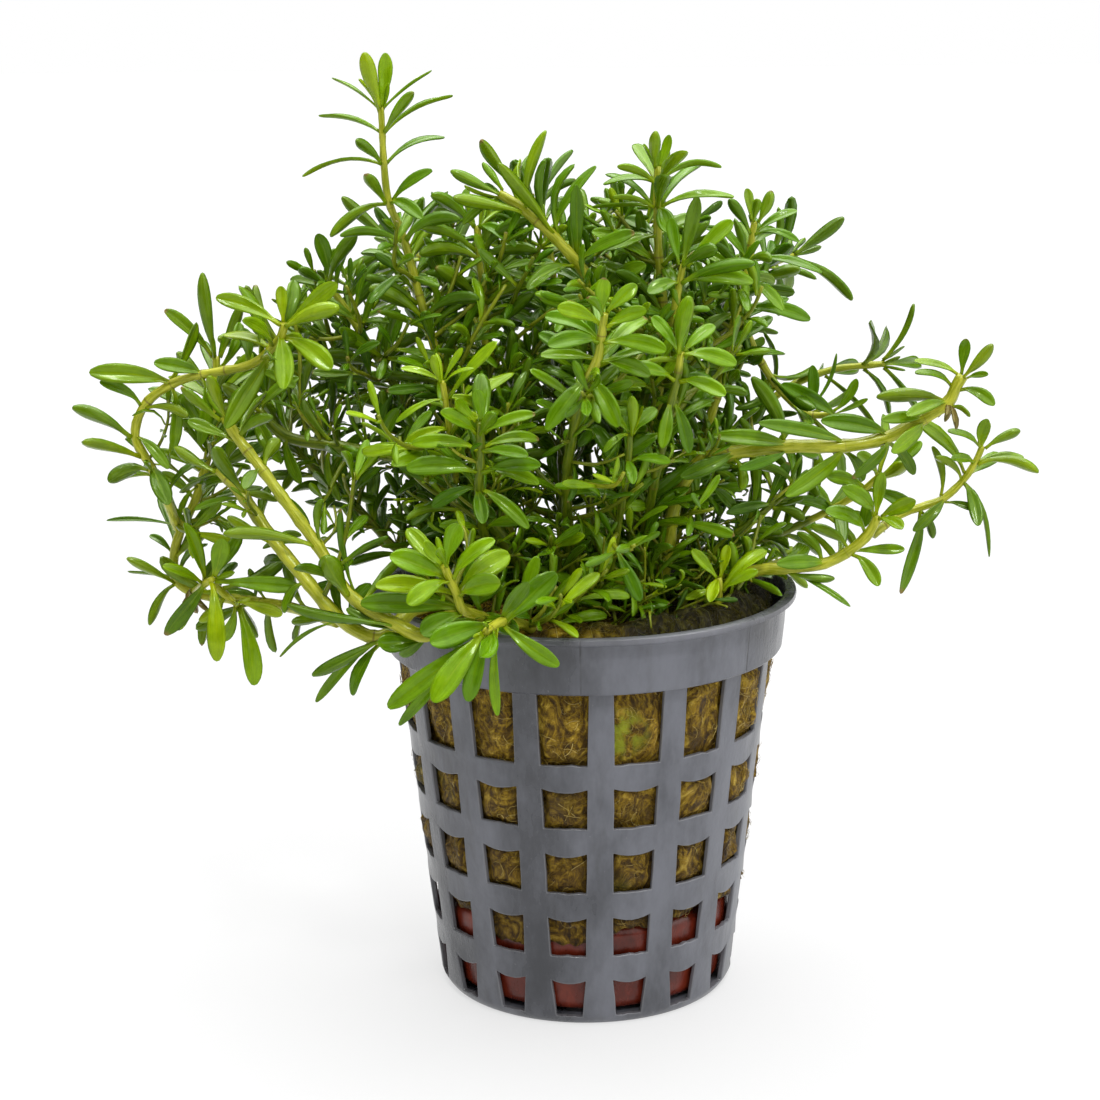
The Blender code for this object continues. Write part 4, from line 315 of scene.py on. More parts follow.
        at(31.2, 55.6, 9.5, (25, 55.6, 3, 2.2), (34.7, 49.8, 3, 1.0, 0.3), (27.6, 59.8, -2, 1.9)),
        at(34.6, 57.4, 9.5, (38.3, 52.5, 3, 2.0, 0.8), (29.4, 60.6, -1, 2.0), more=1),
        at(36.9, 59.6, 9.5, (31.2, 62.6, 1, 2.6), (41.6, 57.4, -1, 1.6)),
        at(38, 61.9, 9.5, (33.4, 65.6, 2, 2.4, 0.8), (42.8, 63.8, 2, 2.2, 0.8), (38.4, 67.6, -1, 2.0),
           (41.2, 60.2, 4, 2.0)),
    )),
    Shoot("right_reaching_shoot", fork("low_right_shoot", 6), (0.65, 0.45), GREEN, (
        at(40.6, 61.9, 6.5), at(43.6, 63, 6, (41.2, 51.4, 2, 2.1, 0.8), (45.2, 58.8, -1, 1.4)),
        at(46.4, 64.1, 5.5, (50.6, 62.6, 1, 1.2), (44.8, 71, -1, 1.5), (42.6, 59.8, 3, 1.8)),
        at(48.9, 66.5, 5, (51, 60.4, 2, 2.1, 0.8), (52.6, 56.2, -1, 0.9, 0.2), (45.2, 69.6, 2, 1.5)),
        at(50.4, 68.9, 5, (58.6, 67.4, 1, 1.8, 0.6), (47.3, 69.3, 3, 1.6, 0.7), (56.6, 69.5, -2, 1.9, 0.5)),
        at(51.2, 70.9, 5, (46.7, 73, 1, 1.6), (51.8, 74.4, 0, 1.8, 0.9), (56, 72.9, 0, 1.6, 0.7)),
    )),
    Shoot("right_bright_rosette", root(13, 0), (0.65, 0.45), BRIGHT, (
        at(19.5, 57.2, -1), at(26.6, 60.2, -2, more=2), at(32.4, 63, -2, (27.6, 67, 1, 2.0), more=1),
        at(36.4, 65.6, -1, (31.2, 67.2, 2, 2.2), (42.6, 62.6, 1, 2.2), (36.2, 60.4, 2, 2.0)),
        at(38.2, 67.3, 0, (41.4, 68.9, 4, 2.2, 0.8), (43.4, 71.6, -2, 1.8), (35.2, 70, 3, 2.2), more=1),
    )),
    Shoot("right_upper_side_shoot", fork("right_top_shoot", 4), (0.65, 0.45), GREEN, (
        at(21.4, 84.4, -4), at(24.8, 78.8, -5, (23.2, 84.8, 0, 1.6, 0.7), (19.4, 76, 1, 1.6)),
        at(28.6, 75.4, -5, (29.2, 81.6, 0, 1.8, 0.9), (32.3, 83.1, -2, 0.9, 0.2)),
        at(32.2, 75.2, -4, (25.3, 79.2, 3, 2.4, 0.8), (34.9, 79.8, 0, 1.5, 0.8), (36.4, 77.2, -1, 0.9)),
    )),
    Shoot("right_inner_shoot", root(12, -4), (0.6, 0.45), DARK, (
        at(16.4, 56.6, 4), at(20.6, 60.4, 4, (17, 65.6, 0, 1.8), (25.8, 59.8, 1, 1.8)),
        at(24.2, 63.4, 3, (18.4, 62.4, 2, 1.8), (26.4, 69, -1, 2.0), (28.6, 61.4, 2, 1.9)),
        at(27.2, 66.2, 2, (22, 68.6, 2, 1.9), (32.4, 68.8, 0, 2.0), (30.4, 64.6, 3, 1.9), more=1),
    )),
    Shoot("pale_sprout", root(15.5, -12.5), (0.5, 0.4), BRIGHT, (
        at(17.4, 50.4, 13), at(17.7, 52.2, 13.5, (22.6, 54.7, 1, 1.6, 0.9), (13.2, 51, 1, 1.3)),
        at(17.5, 53.8, 13.7, (14, 57.6, 0, 1.7, 0.7), (16.4, 50.6, 4, 1.9, 0.8), (18.6, 58.2, -1, 1.6)),
    )),
)

# Low sprigs of narrow young leaves at the foot of the stems: where they stand, and how far they rise
SPRIGS = (
    ("front_sprig", (-3.5, -12.0), 12.5),
    ("right_front_sprig", (7.0, -13.0), 12.0),
    ("right_sprig", (10.5, -9.0), 15.0),
    ("left_sprig", (-17.0, -2.0), 13.0),
    ("back_sprig", (-2.0, 16.5), 15.0),
)

# The stems behind and among the ones above: where they stand, which way they lean, how far they
# reach and how high they rise
BACK_STEMS = (
    ("back_stem_far_left", (-12.5, 9.5), 2.75, 30.0, 30.0),
    ("back_stem_left", (-6.5, 13.5), 2.15, 28.0, 42.0),
    ("back_stem_middle", (1.5, 14.0), 1.65, 27.0, 38.0),
    ("back_stem_right", (9.0, 12.0), 0.95, 28.0, 40.0),
    ("back_stem_far_right", (14.0, 6.5), 0.30, 26.0, 28.0),
    ("inner_stem_left", (-2.5, 8.5), 2.05, 12.0, 50.0),
    ("inner_stem_middle", (3.5, 9.0), 1.20, 13.0, 46.0),
    ("inner_stem_right", (5.5, -3.5), 0.05, 8.0, 38.0),
)


def seen(across, up, near):
    """The point in space that is seen at (across, up), so much nearer than the upright plane."""
    flat = Vector((across, 0.0, up))
    return flat + (EYE - flat).normalized() * near


def to_eye(place):
    return (EYE - place).normalized()


def perpendicular(vector, axis):
    return vector - axis * vector.dot(axis)


class Stem:
    """The spine of a shoot, and four-sided rings round it that its leaves grow from."""

    def __init__(self, shoot, spine):
        self.shoot = shoot
        self.spine = spine
        last = len(spine) - 1
        along = [spine[min(k + 1, last)] - spine[max(k - 1, 0)] for k in range(last + 1)]
        self.tangents = [way.normalized() for way in along]
        if shoot.start[0] == "root":
            self.tangents[0] = Vector((0.0, 0.0, 1.0))
        lengths = [0.0]
        for k in range(last):
            lengths.append(lengths[-1] + (spine[k + 1] - spine[k]).length)
        first, end = shoot.radii
        self.radii = [first + (end - first) * length / lengths[-1] for length in lengths]
        self.leaves = []
        self.turned = [0.0] * (last + 1)
        self.order = {}  # for each ring, the side that each of its leaves is to grow from
        self.set_rings()

    def set_rings(self):
        """The ring at each point, carried along the spine without twist and then turned by self.turned."""
        self.sides = []
        sideways = perpendicular(Vector((1.0, 0.0, 0.0)), self.tangents[0]).normalized()
        for tangent, turn in zip(self.tangents, self.turned):
            sideways = perpendicular(sideways, tangent).normalized()
            angles = [turn + math.pi / 2 * side for side in range(4)]
            self.sides.append([Matrix.Rotation(angle, 3, tangent) @ sideways for angle in angles])

    def corner(self, ring, side, margin=0.0):
        out = self.sides[ring][side % 4] + self.sides[ring][(side + 1) % 4]
        return self.spine[ring] + out.normalized() * (self.radii[ring] + margin)

    def sleeve(self, margin):
        """A tube of four sides round the stem, so much wider than the stem."""
        points = [self.corner(k, side, margin) for k in range(len(self.spine)) for side in range(4)]
        faces = [
            (4 * k + side, 4 * k + (side + 1) % 4, 4 * k + 4 + (side + 1) % 4, 4 * k + 4 + side)
            for k in range(len(self.spine) - 1)
            for side in range(4)
        ]
        return points, faces


def stem_spine(shoot, stems, shift):
    """The shoot's points in space. shift moves the free part of the stem towards the eye."""
    kind, *where = shoot.start
    bound = 0 if kind == "root" else 1  # a stem that forks off is free from its first point on
    shares = [min(1.0, (k + bound) / 3) for k in range(len(shoot.points))]
    free = [seen(p.across, p.up, p.near + shift * share) for p, share in zip(shoot.points, shares)]
    if kind == "root":
        return [Vector((where[0], where[1], PLUG_TOP + GAP))] + free
    parent, k = stems[where[0]], where[1]
    way = perpendicular(free[0] - parent.spine[k], parent.tangents[k]).normalized()
    return [parent.spine[k] + way * (parent.radii[k] + GAP + 0.35)] + free


def tree_of(parts):
    points, faces = [], []
    for more_points, more_faces in parts:
        faces += [tuple(len(points) + i for i in face) for face in more_faces]
        points += more_points
    return BVHTree.FromPolygons(points, faces) if faces else None


def meets(first, second):
    return bool(first and second and first.overlap(second))


def grow_stems(shoots):
    stems = {}
    for shoot in shoots:
        others = tree_of([stem.sleeve(0.0) for stem in stems.values()])
        for shift in (0, 1.2, -1.2, 2.4, -2.4, 3.6, -3.6, 5, -5, 7, -7, 9, -9):
            stem = Stem(shoot, stem_spine(shoot, stems, shift))
            if not meets(tree_of([stem.sleeve(GAP + 0.1)]), others):
                break
        stems[shoot.name] = stem
    return stems


def leaf_width(share):
    """How wide a leaf is along its length, against its widest place."""
    if share < LEAF_WIDEST:
        return 0.3 + 0.7 * math.sin(math.pi / 2 * share / LEAF_WIDEST) ** 1.3
    return 1.0 - (1.0 - TIP_SHARE) * ((share - LEAF_WIDEST) / (1.0 - LEAF_WIDEST)) ** 2


def leaf_section(leaf_at, share):
    """The leaf's middle, the way across it, its upper side and its half width at a share of its length."""
    base, tip = leaf_at.base, leaf_at.tip
    control = base + (tip - base) * 0.45 + leaf_at.lift
    middle = base * (1 - share) ** 2 + control * (2 * share * (1 - share)) + tip * share**2
    along = ((control - base) * (1 - share) + (tip - control) * share).normalized()
    normal = leaf_at.edge.cross(along).normalized()
    eye = perpendicular(to_eye(middle), along).normalized()
    turn = abs(leaf_at.face) * min(1.0, share / 0.3)
    side_seen = leaf_at.edge.cross(tip - base).dot(to_eye(base))
    normal = perpendicular(normal * (1 - turn) + eye * math.copysign(turn, side_seen), along).normalized()
    half = leaf_at.width / 2 * leaf_width(share)
    return Section(middle, along.cross(normal), normal, half, LEAF_DEPTH * (1 - share**4))


def leaf_sections(leaf_at, shares=(0.0, LEAF_WIDEST, 1.0)):
    return [leaf_section(leaf_at, share) for share in shares]


def leaf_sleeve(sections, margin):
    """A closed tube round a leaf's sections, so much wider than the leaf on every side."""
    points, faces = [], []
    for number, part in enumerate(sections):
        over, under = part.normal * (margin + 0.02), part.normal * -(part.depth + margin)
        middle, wide = part.middle, part.across * (part.half + margin)
        points += [middle + wide + over, middle - wide + over, middle - wide + under, middle + wide + under]
        if number:
            near, far = 4 * number - 4, 4 * number
            faces += [(near + i, near + (i + 1) % 4, far + (i + 1) % 4, far + i) for i in range(4)]
    return points, faces


def wall_radius(height):
    """The outside of the pot's wall at a height."""
    return WALL_RADIUS_FOOT + (WALL_RADIUS_COLLAR - WALL_RADIUS_FOOT) * height / COLLAR_FOOT


def pot_radius(height):
    """The outside of the pot at a height, with the collar as wide as the lip."""
    if height > COLLAR_FOOT:
        return LIP_DIAMETER / 2
    return wall_radius(height)


def clear_of_pot(points):
    for point in points:
        out = math.hypot(point.x, point.y)
        if point.z < 0.4:
            return False
        if point.z < POT_HEIGHT + 0.5 and LIP_DIAMETER / 2 - 4.2 < out < pot_radius(point.z) + 0.5:
            return False
        if point.z < PLUG_TOP + 0.5 and out < pot_radius(point.z):
            return False
    return True


def leaf_between(base, tip, out, tangent, bow, width, face, ring=0, side=0):
    """A leaf that leaves its stem on the side called out. One that stands up along the stem bows
    outwards."""
    chord = tip - base
    steep = max(0.0, chord.normalized().dot(tangent)) ** 4
    lift = (tangent * (1 - steep) + out * steep) * (bow * chord.length)
    return Leaf(ring, side, base, out.cross(tangent), lift, tip, width, face)


def leaf_on(stem, ring, side, tip, width, face, bow):
    """A leaf that grows from one side of a stem's ring."""
    base = (stem.corner(ring, side - 1) + stem.corner(ring, side)) / 2
    out, tangent = stem.sides[ring][side], stem.tangents[ring]
    return leaf_between(base, tip, out, tangent, bow, width, face, ring, side)


def try_leaf(stem, leaf_at, others):
    """Puts the leaf on the stem if nothing is in its way."""
    sections = leaf_sections(leaf_at)
    points, faces = leaf_sleeve(sections[:1] + leaf_sections(leaf_at, (0.3, LEAF_WIDEST, 1.0)), GAP)
    if not clear_of_pot(points):
        return False
    sleeve = BVHTree.FromPolygons(points, faces)
    if any(meets(sleeve, tree) for tree in others):
        return False
    blade = leaf_sleeve(leaf_sections(leaf_at, (0.3, LEAF_WIDEST, 1.0)), 0.0)
    own = [leaf_sleeve(leaf_sections(other, (0.15, LEAF_WIDEST, 1.0)), 0.0) for other in stem.leaves]
    if meets(BVHTree.FromPolygons(*blade), tree_of([*own, stem.sleeve(0.0)])):
        return False
    stem.leaves.append(leaf_at)
    return True


def free_side(stem, ring, way, least=-1.0):
    """The free side of a ring that faces most nearly that way."""
    taken = {leaf_at.side for leaf_at in stem.leaves if leaf_at.ring == ring}
    sides = [side for side in range(4) if side not in taken and stem.sides[ring][side].dot(way) > least]
    return max(sides, key=lambda side: stem.sides[ring][side].dot(way), default=None)


def lead_in(stem):
    """How many points the spine has before the shoot's own."""
    return len(stem.spine) - len(stem.shoot.points)


def turn_rings(stem):
    """Turns each ring so that its sides face its leaves as nearly as they can."""
    for number, point in enumerate(stem.shoot.points):
        ring = number + lead_in(stem)
        tangent, near = stem.tangents[ring], as_seen(stem.spine[ring])[2]
        tips = [seen(spec.across, spec.up, near + spec.nearer) for spec in point.leaves]
        ways = [perpendicular(tip - stem.spine[ring], tangent).normalized() for tip in tips]
        best = 0.0
        for turn in [math.pi / 24 * step for step in range(-6, 6)]:
            sides = [Matrix.Rotation(turn, 3, tangent) @ side for side in stem.sides[ring]]
            for order in permutations(range(4), len(ways)):
                fit = sum(min(0.8, sides[side].dot(way)) for side, way in zip(order, ways))
                if fit > best + 0.001:
                    best, stem.turned[ring], stem.order[ring] = fit, turn, order
    stem.set_rings()


def seats(stem, ring, number, way):
    """Where a leaf can grow: its own side of its ring, or else a side of a ring next to it."""
    order = stem.order.get(ring, ())
    if number < len(order) and stem.sides[ring][order[number]].dot(way) > 0.1:
        yield ring, order[number]
    for other in (ring, ring - 1, ring + 1):
        if 0 < other < len(stem.spine):
            side = free_side(stem, other, way, 0.1)
            kept = stem.order.get(other, ())
            if side is not None and (other == ring or side not in kept):
                yield other, side


def grow_seen_leaf(stem, ring, count, spec, others):
    """A leaf given by its tip. If it meets something, its tip moves along the line of sight."""
    near = as_seen(stem.spine[ring])[2]
    for shift in (0, 1.5, -1.5, 3, -3, 4.5, -4.5, 6, -6, 8, -8):
        tip = seen(spec.across, spec.up, near + spec.nearer + shift)
        way = (tip - stem.spine[ring]).normalized()
        for place, side in seats(stem, ring, count, way):
            if try_leaf(stem, leaf_on(stem, place, side, tip, spec.width, spec.face, 0.16), others):
                return


def grow_seen_leaves(stem, others):
    for number, point in enumerate(stem.shoot.points):
        for count, spec in enumerate(point.leaves):
            grow_seen_leaf(stem, number + lead_in(stem), count, spec, others)


def try_away(stem, ring, side, length, width, others):
    """Tries a leaf straight out of a side of a ring, and then turned round the stem by steps."""
    tangent, centre = stem.tangents[ring], stem.spine[ring]
    for turn in (0.0, 0.4, -0.4, 0.8, -0.8):
        out = Matrix.Rotation(turn, 3, tangent) @ stem.sides[ring][side]
        way = (out * 0.85 + tangent * 0.5 + Vector((0, 0, -0.12))).normalized()
        if try_leaf(stem, leaf_on(stem, ring, side, centre + way * length, width, 0.0, 0.12), others):
            return


def grow_more_leaves(stem, others, dice):
    """Leaves on the free sides, turned away from the eye first."""
    for number, point in enumerate(stem.shoot.points):
        ring = number + lead_in(stem)
        for _ in range(point.more):
            stray = Vector((dice.uniform(-1, 1), dice.uniform(-1, 1), dice.uniform(-0.5, 0.5)))
            side = free_side(stem, ring, stray - to_eye(stem.spine[ring]))
            if side is None:
                break
            length, width = dice.uniform(8.0, 10.5), dice.uniform(1.9, 2.6)
            try_away(stem, ring, side, length, width, others)


def grow_leaves(stems, grow):
    """Runs grow for every stem, with what the other stems already fill."""
    for stem in stems.values():
        bare = tree_of([other.sleeve(0.0) for other in stems.values() if other is not stem])
        leafy = tree_of([
            leaf_sleeve(leaf_sections(leaf_at), 0.0)
            for other in stems.values() if other is not stem for leaf_at in other.leaves
        ])
        grow(stem, [tree for tree in (bare, leafy) if tree])


def as_seen(place):
    """A point in space as across, up and near."""
    share = EYE.y / (EYE.y - place.y)
    flat = EYE + (place - EYE) * share
    return flat.x, flat.z, (place - flat).length * math.copysign(1.0, -place.y)


def back_shoot(name, foot, lean, reach, rise, dice):
    """A stem that rises from its foot and arches over towards lean, in radians from +X."""
    count = max(4, round(math.hypot(reach, rise) / 7.5))
    points = []
    for k in range(1, count + 1):
        share = k / count
        bend = lean + 0.25 * math.sin(2.5 * share + foot[0])
        out = reach * share**1.5
        place = Vector((
            foot[0] + out * math.cos(bend),
            foot[1] + out * math.sin(bend),
            PLUG_TOP + 2.0 + rise * math.sin(math.pi / 2 * share**0.9),
        ))
        leaves = 0 if share < 0.3 else (2 if k < count else 4)
        points.append(Point(*as_seen(place), (), leaves))
    return Shoot(name, root(*foot), (0.72, 0.48), DARK if dice.random() < 0.6 else GREEN, tuple(points))


def sprig(name, foot, rise, dice):
    """A short shoot of narrow leaves."""
    points = []
    for share in (0.45, 1.0):
        aside, back = dice.uniform(-1.4, 1.4), dice.uniform(-1.4, 1.4)
        place = Vector((foot[0] + aside, foot[1] + back, PLUG_TOP + 1.2 + rise * share))
        across, up, near = as_seen(place)
        leaves = []
        for way in (-1, 1, 0):
            forward = -2.6 * (way == 0) + dice.uniform(-2, 1)
            tip = place + Vector((way * 4.2 + dice.uniform(-1, 1), forward, dice.uniform(1, 4)))
            tip_across, tip_up, tip_near = as_seen(tip)
            leaves.append(leaf(tip_across, tip_up, tip_near - near, dice.uniform(0.9, 1.3), 0.4))
        points.append(at(across, up, near, *leaves))
    return Shoot(name, root(*foot), (0.4, 0.3), GREEN, tuple(points))


def grow_plant():
    dice = random.Random(SEED)
    back = [back_shoot(*row, dice) for row in BACK_STEMS]
    low = [sprig(*row, dice) for row in SPRIGS]
    stems = grow_stems([*SHOOTS, *low, *back])
    for stem in stems.values():
        turn_rings(stem)
    grow_leaves(stems, grow_seen_leaves)
    grow_leaves(stems, lambda stem, others: grow_more_leaves(stem, others, dice))
    return stems


# How the leaves look: how old each tone's leaves are, from 0, just opened, to 1
AGES = {BRIGHT: 0.38, GREEN: 0.54, DARK: 0.74}
YOUNG_SHOOTS = {"pale_sprout": 0.12, "slender_yellow_shoot": 0.12, "front_cluster_shoot": 0.32}
LEAF_ROWS = (0.0, 0.07, 0.17, 0.29, 0.41, 0.53, 0.64, 0.75, 0.84, 0.91, 0.955, 0.985)
LEAF_COLUMNS = (-1.0, -0.66, -0.3, 0.0, 0.3, 0.66, 1.0)
SMALL_ROWS = (0.0, 0.12, 0.3, 0.5, 0.7, 0.85, 0.95)
SMALL_COLUMNS = (-1.0, -0.5, 0.0, 0.5, 1.0)
TINY_ROWS = (0.0, 0.2, 0.44, 0.68, 0.86, 0.96)
TINY_COLUMNS = (-1.0, 0.0, 1.0)
TINY_LENGTH = 5.4  # a small leaf shorter than this has the tiny rows and columns
LEAF_THICKNESS = 0.3
# Leaves that start above this height are younger, and youngest where YOUNG_OVER higher
YOUNG_FROM = 92
YOUNG_OVER = 25
SHADE_HEIGHT = 84  # below this the stems in the dense middle are painted darker green: painted shade
LOW_TWIGS = 78  # below this most side twigs are small and curled
# The tangle round each low sprig: young shoots, bare stems, and how far to the front it begins
TANGLE_SHOOTS = 46
TANGLE_STEMS = 5
TANGLE_FRONT = -14.0
# A leaf's width along its length, against its widest place
LEAF_OUTLINE = (
    (0.0, 0.3), (0.1, 0.27), (0.2, 0.39), (0.33, 0.63), (0.46, 0.83), (0.58, 0.95), (0.69, 1.0), (0.78, 0.96),
    (0.86, 0.84), (0.92, 0.66), (0.96, 0.46), (0.985, 0.31), (1.0, 0.13),
)

# Where withered leaves hang, in across and up
WITHERED = {"right_long_stem": (47.0, 75.7), "left_side_stem": (-52.6, 50.4)}
# Shoots that stand free against the background: the share of their joints that gets more leaves
OUTLINE_SHOOTS = {
    "tall_left_shoot": 0.25, "left_arch_stem": 0.45, "left_side_stem": 0.7, "lower_left_stem": 0.5,
    "front_left_stem": 0.45, "right_long_stem": 0.5, "right_reaching_shoot": 0.4, "low_right_shoot": 0.7,
    "right_upper_side_shoot": 0.6, "lower_left_rosette": 0.7, "lower_left_side_shoot": 0.7,
    "front_cluster_shoot": 1.0, "front_hanging_shoot": 0.8, "right_top_shoot": 0.8, "top_centre_shoot": 0.9,
    "pale_sprout": 0.4, "slender_yellow_shoot": 0.2,
}
# The outline of the dense middle of the plant as the camera sees it, in across and up
DENSE = (
    (-33.3, 97.4), (-26.8, 99.6), (-21.0, 101.1), (-15.9, 103.3), (-8.8, 101.1), (-1.5, 99.6), (4.2, 103.9),
    (10.1, 102.5), (17.2, 99.6), (23.1, 97.4), (24.5, 90.9), (19.4, 80.8), (23.1, 75.1), (27.4, 70.8),
    (24.5, 65.0), (30.2, 60.7), (24.5, 53.4), (8.5, 49.8), (-8.8, 48.3), (-24.6, 53.4), (-33.3, 60.7),
    (-40.4, 65.0), (-52.0, 59.2), (-56.4, 65.0), (-57.8, 70.8), (-54.9, 77.9), (-47.7, 80.8), (-39.0, 86.6),
    (-36.2, 92.4),
)


class Drawing:
    """Points, faces and tints that become one piece."""

    def __init__(self):
        self.points, self.faces, self.slots, self.blade, self.sort = [], [], [], [], []

    def point(self, place, blade=(0, 0, 0), sort=(0, 0, 0)):
        self.points.append(place)
        self.blade.append((*blade, 1.0))
        self.sort.append((*sort, 1.0))
        return len(self.points) - 1

    def face(self, *corners, slot=0):
        self.faces.append(corners)
        self.slots.append(slot)

    def skin(self, rings, slot=0):
        """Faces from each ring of points to the next."""
        for near, far in zip(rings, rings[1:]):
            for i in range(len(near)):
                j = (i + 1) % len(near)
                self.face(near[i], near[j], far[j], far[i], slot=slot)

    def tube(self, rings, slot=0):
        """A skin over the rings, closed at both ends."""
        self.skin(rings, slot)
        self.face(*reversed(rings[0]), slot=slot)
        self.face(*rings[-1], slot=slot)

    def piece(self, name, nodes, looks, sharp=None):
        mesh = bpy.data.meshes.new(name)
        mesh.from_pydata([tuple(p * MM) for p in self.points], [], self.faces)
        for label, values in (("blade", self.blade), ("sort", self.sort)):
            layer = mesh.attributes.new(label, "FLOAT_COLOR", "POINT")
            layer.data.foreach_set("color", np.array(values, dtype=np.float32).ravel())
        for look in looks:
            mesh.materials.append(look)
        mesh.polygons.foreach_set("material_index", self.slots)
        mesh.shade_smooth()
        if sharp:
            mesh.set_sharp_from_angle(angle=sharp)
        made = linked(bpy.data.objects.new(name, mesh))
        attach(made, "root")
        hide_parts(*nodes)
        return made


def linked(made):
    bpy.context.scene.collection.objects.link(made)
    return made


def bell(value, width):
    return math.exp(-((value / width) ** 2))


def clamped(value):
    return max(0.0, min(1.0, value))


def blade_ring(drawing, leaf_at, share, columns, shape):
    """The points across a blade at a share of its length, over its upper side and back below it."""
    twist, cup, wave, phase, curl, pale, sort = shape
    part = leaf_section(leaf_at, share)
    turn = Matrix.Rotation(twist * share, 3, part.across.cross(part.normal))
    across, normal = turn @ part.across, turn @ part.normal
    width = float(np.interp(share ** (0.85 + 0.04 * phase), *zip(*LEAF_OUTLINE)))
    half = 0.44 * leaf_at.width * width
    middle = part.middle + normal * (curl * math.sin(math.pi * share) - 0.04)
    thick = (LEAF_THICKNESS + 0.25 * bell(share, 0.2)) * (0.35 + 0.65 * min(1.0, 1.6 * width))
    thick *= min(1.0, leaf_at.width / 1.8)
    top, under = [], []
    for place in columns:
        groove = 0.1 * half * bell(place, 0.2)
        lift = half * cup * (1.1 - 0.6 * share) * (abs(place) ** 1.3 - 0.4) - groove
        lift += wave * half * abs(place) * math.sin(9 * share + phase + place)
        spot = middle + across * (half * place) + normal * lift
        top.append(drawing.point(spot, (share, place / 2 + 0.5, pale), sort))
        if abs(place) < 1:
            spot = spot - normal * (thick * (1 - 0.55 * place * place) + groove)
            under.append(drawing.point(spot, (share, place / 2 + 0.5, 1.0 - pale), sort))
    return top + under[::-1]


def draw_leaf(drawing, leaf_at, age, dice, small=False, withered=False):
    """A thin closed blade with a groove down its middle and its sides a little raised or rolled."""
    length = (leaf_at.tip - leaf_at.base).length
    rows, columns = (SMALL_ROWS, SMALL_COLUMNS) if small else (LEAF_ROWS, LEAF_COLUMNS)
    if small and length < TINY_LENGTH:
        rows, columns = TINY_ROWS, TINY_COLUMNS
    twist, cup = dice.gauss(0, 0.22), dice.uniform(0.1, 0.6)
    wave, phase = dice.uniform(0, 0.12), dice.uniform(0, FULL_TURN)
    curl = dice.gauss(0.015, 0.04) * length
    pale = 1.0 if leaf_at.face < 0 else 0.0
    age += dice.gauss(0, 0.1) - 0.2 * clamped((leaf_at.base.z - YOUNG_FROM) / YOUNG_OVER)
    sort = (dice.random(), clamped(age), 1.0 if withered else 0.997 * dice.random())
    shape = (twist, cup, wave, phase, curl, pale, sort)
    rings = [blade_ring(drawing, leaf_at, share, columns, shape) for share in rows]
    tip = leaf_at.tip + leaf_section(leaf_at, 1.0).normal * -0.08
    tip = drawing.point(tip, (1.0, 0.5, pale * 0.5), sort)
    drawing.skin(rings)
    for i, corner in enumerate(rings[-1]):
        drawing.face(corner, rings[-1][(i + 1) % len(rings[-1])], tip)
    drawing.face(*reversed(rings[0]))


def along_path(points, step):
    """A smooth path through the points. Every place on it comes with its point number as a fraction."""
    found = []
    for k in range(len(points) - 1):
        before, first = points[max(k - 1, 0)], points[k]
        second, after = points[k + 1], points[min(k + 2, len(points) - 1)]
        count = max(2, round((second - first).length / step))
        for i in range(count):
            t = i / count
            place = 0.5 * (
                2 * first
                + (second - before) * t
                + (2 * before - 5 * first + 4 * second - after) * t**2
                + (3 * first - before - 3 * second + after) * t**3
            )
            found.append((k + t, place))
    return found + [(len(points) - 1.0, points[-1])]


def draw_stem(drawing, path, radii, joints, ages_and_shade, dice, sides=10):
    """A tube along a path, a little swollen at each of its joints."""
    chance, dry = dice.random(), dice.random()
    last = len(path) - 1
    rings, run = [], 0.0
    sideways = Vector((1.0, 0.1, 0.0))
    for k, (place, radius) in enumerate(zip(path, radii)):
        tangent = (path[min(k + 1, last)] - path[max(k - 1, 0)]).normalized()
        sideways = perpendicular(sideways, tangent).normalized()
        if k:
            run += (place - path[k - 1]).length
        near = min((abs(run - joint) for joint in joints), default=9.0)
        thick = radius * (1 + 0.13 * bell(near, 0.5)) * (1 + 0.03 * math.sin(run * 1.7 + chance * 6))
        ring, sort = [], (chance, ages_and_shade[k], dry)
        for side in range(sides):
            out = Matrix.Rotation(2 * math.pi * side / sides, 3, tangent) @ sideways
            ring.append(drawing.point(place + out * thick, (bell(near, 0.3), run / 100, side / sides), sort))
        rings.append(ring)
    drawing.tube(rings, slot=1)


def outside(place):
    """Whether a place is in the open: off the floor, out of the pot's wall and above the rockwool."""
    out = math.hypot(place.x, place.y)
    if place.z < 1.0:
        return False
    if place.z < POT_HEIGHT + 0.6 and LIP_DIAMETER / 2 - 4.5 < out < pot_radius(place.z) + 0.7:
        return False
    return not (place.z < PLUG_TOP + 1.6 and out < pot_radius(place.z))


def dense(place):
    """Whether the camera sees a place inside the dense middle of the plant."""
    across, up, _ = as_seen(place)
    inside = False
    for (x, y), (next_x, next_y) in zip(DENSE, DENSE[1:] + DENSE[:1]):
        if (y > up) != (next_y > up) and across < x + (next_x - x) * (up - y) / (next_y - y):
            inside = not inside
    return inside


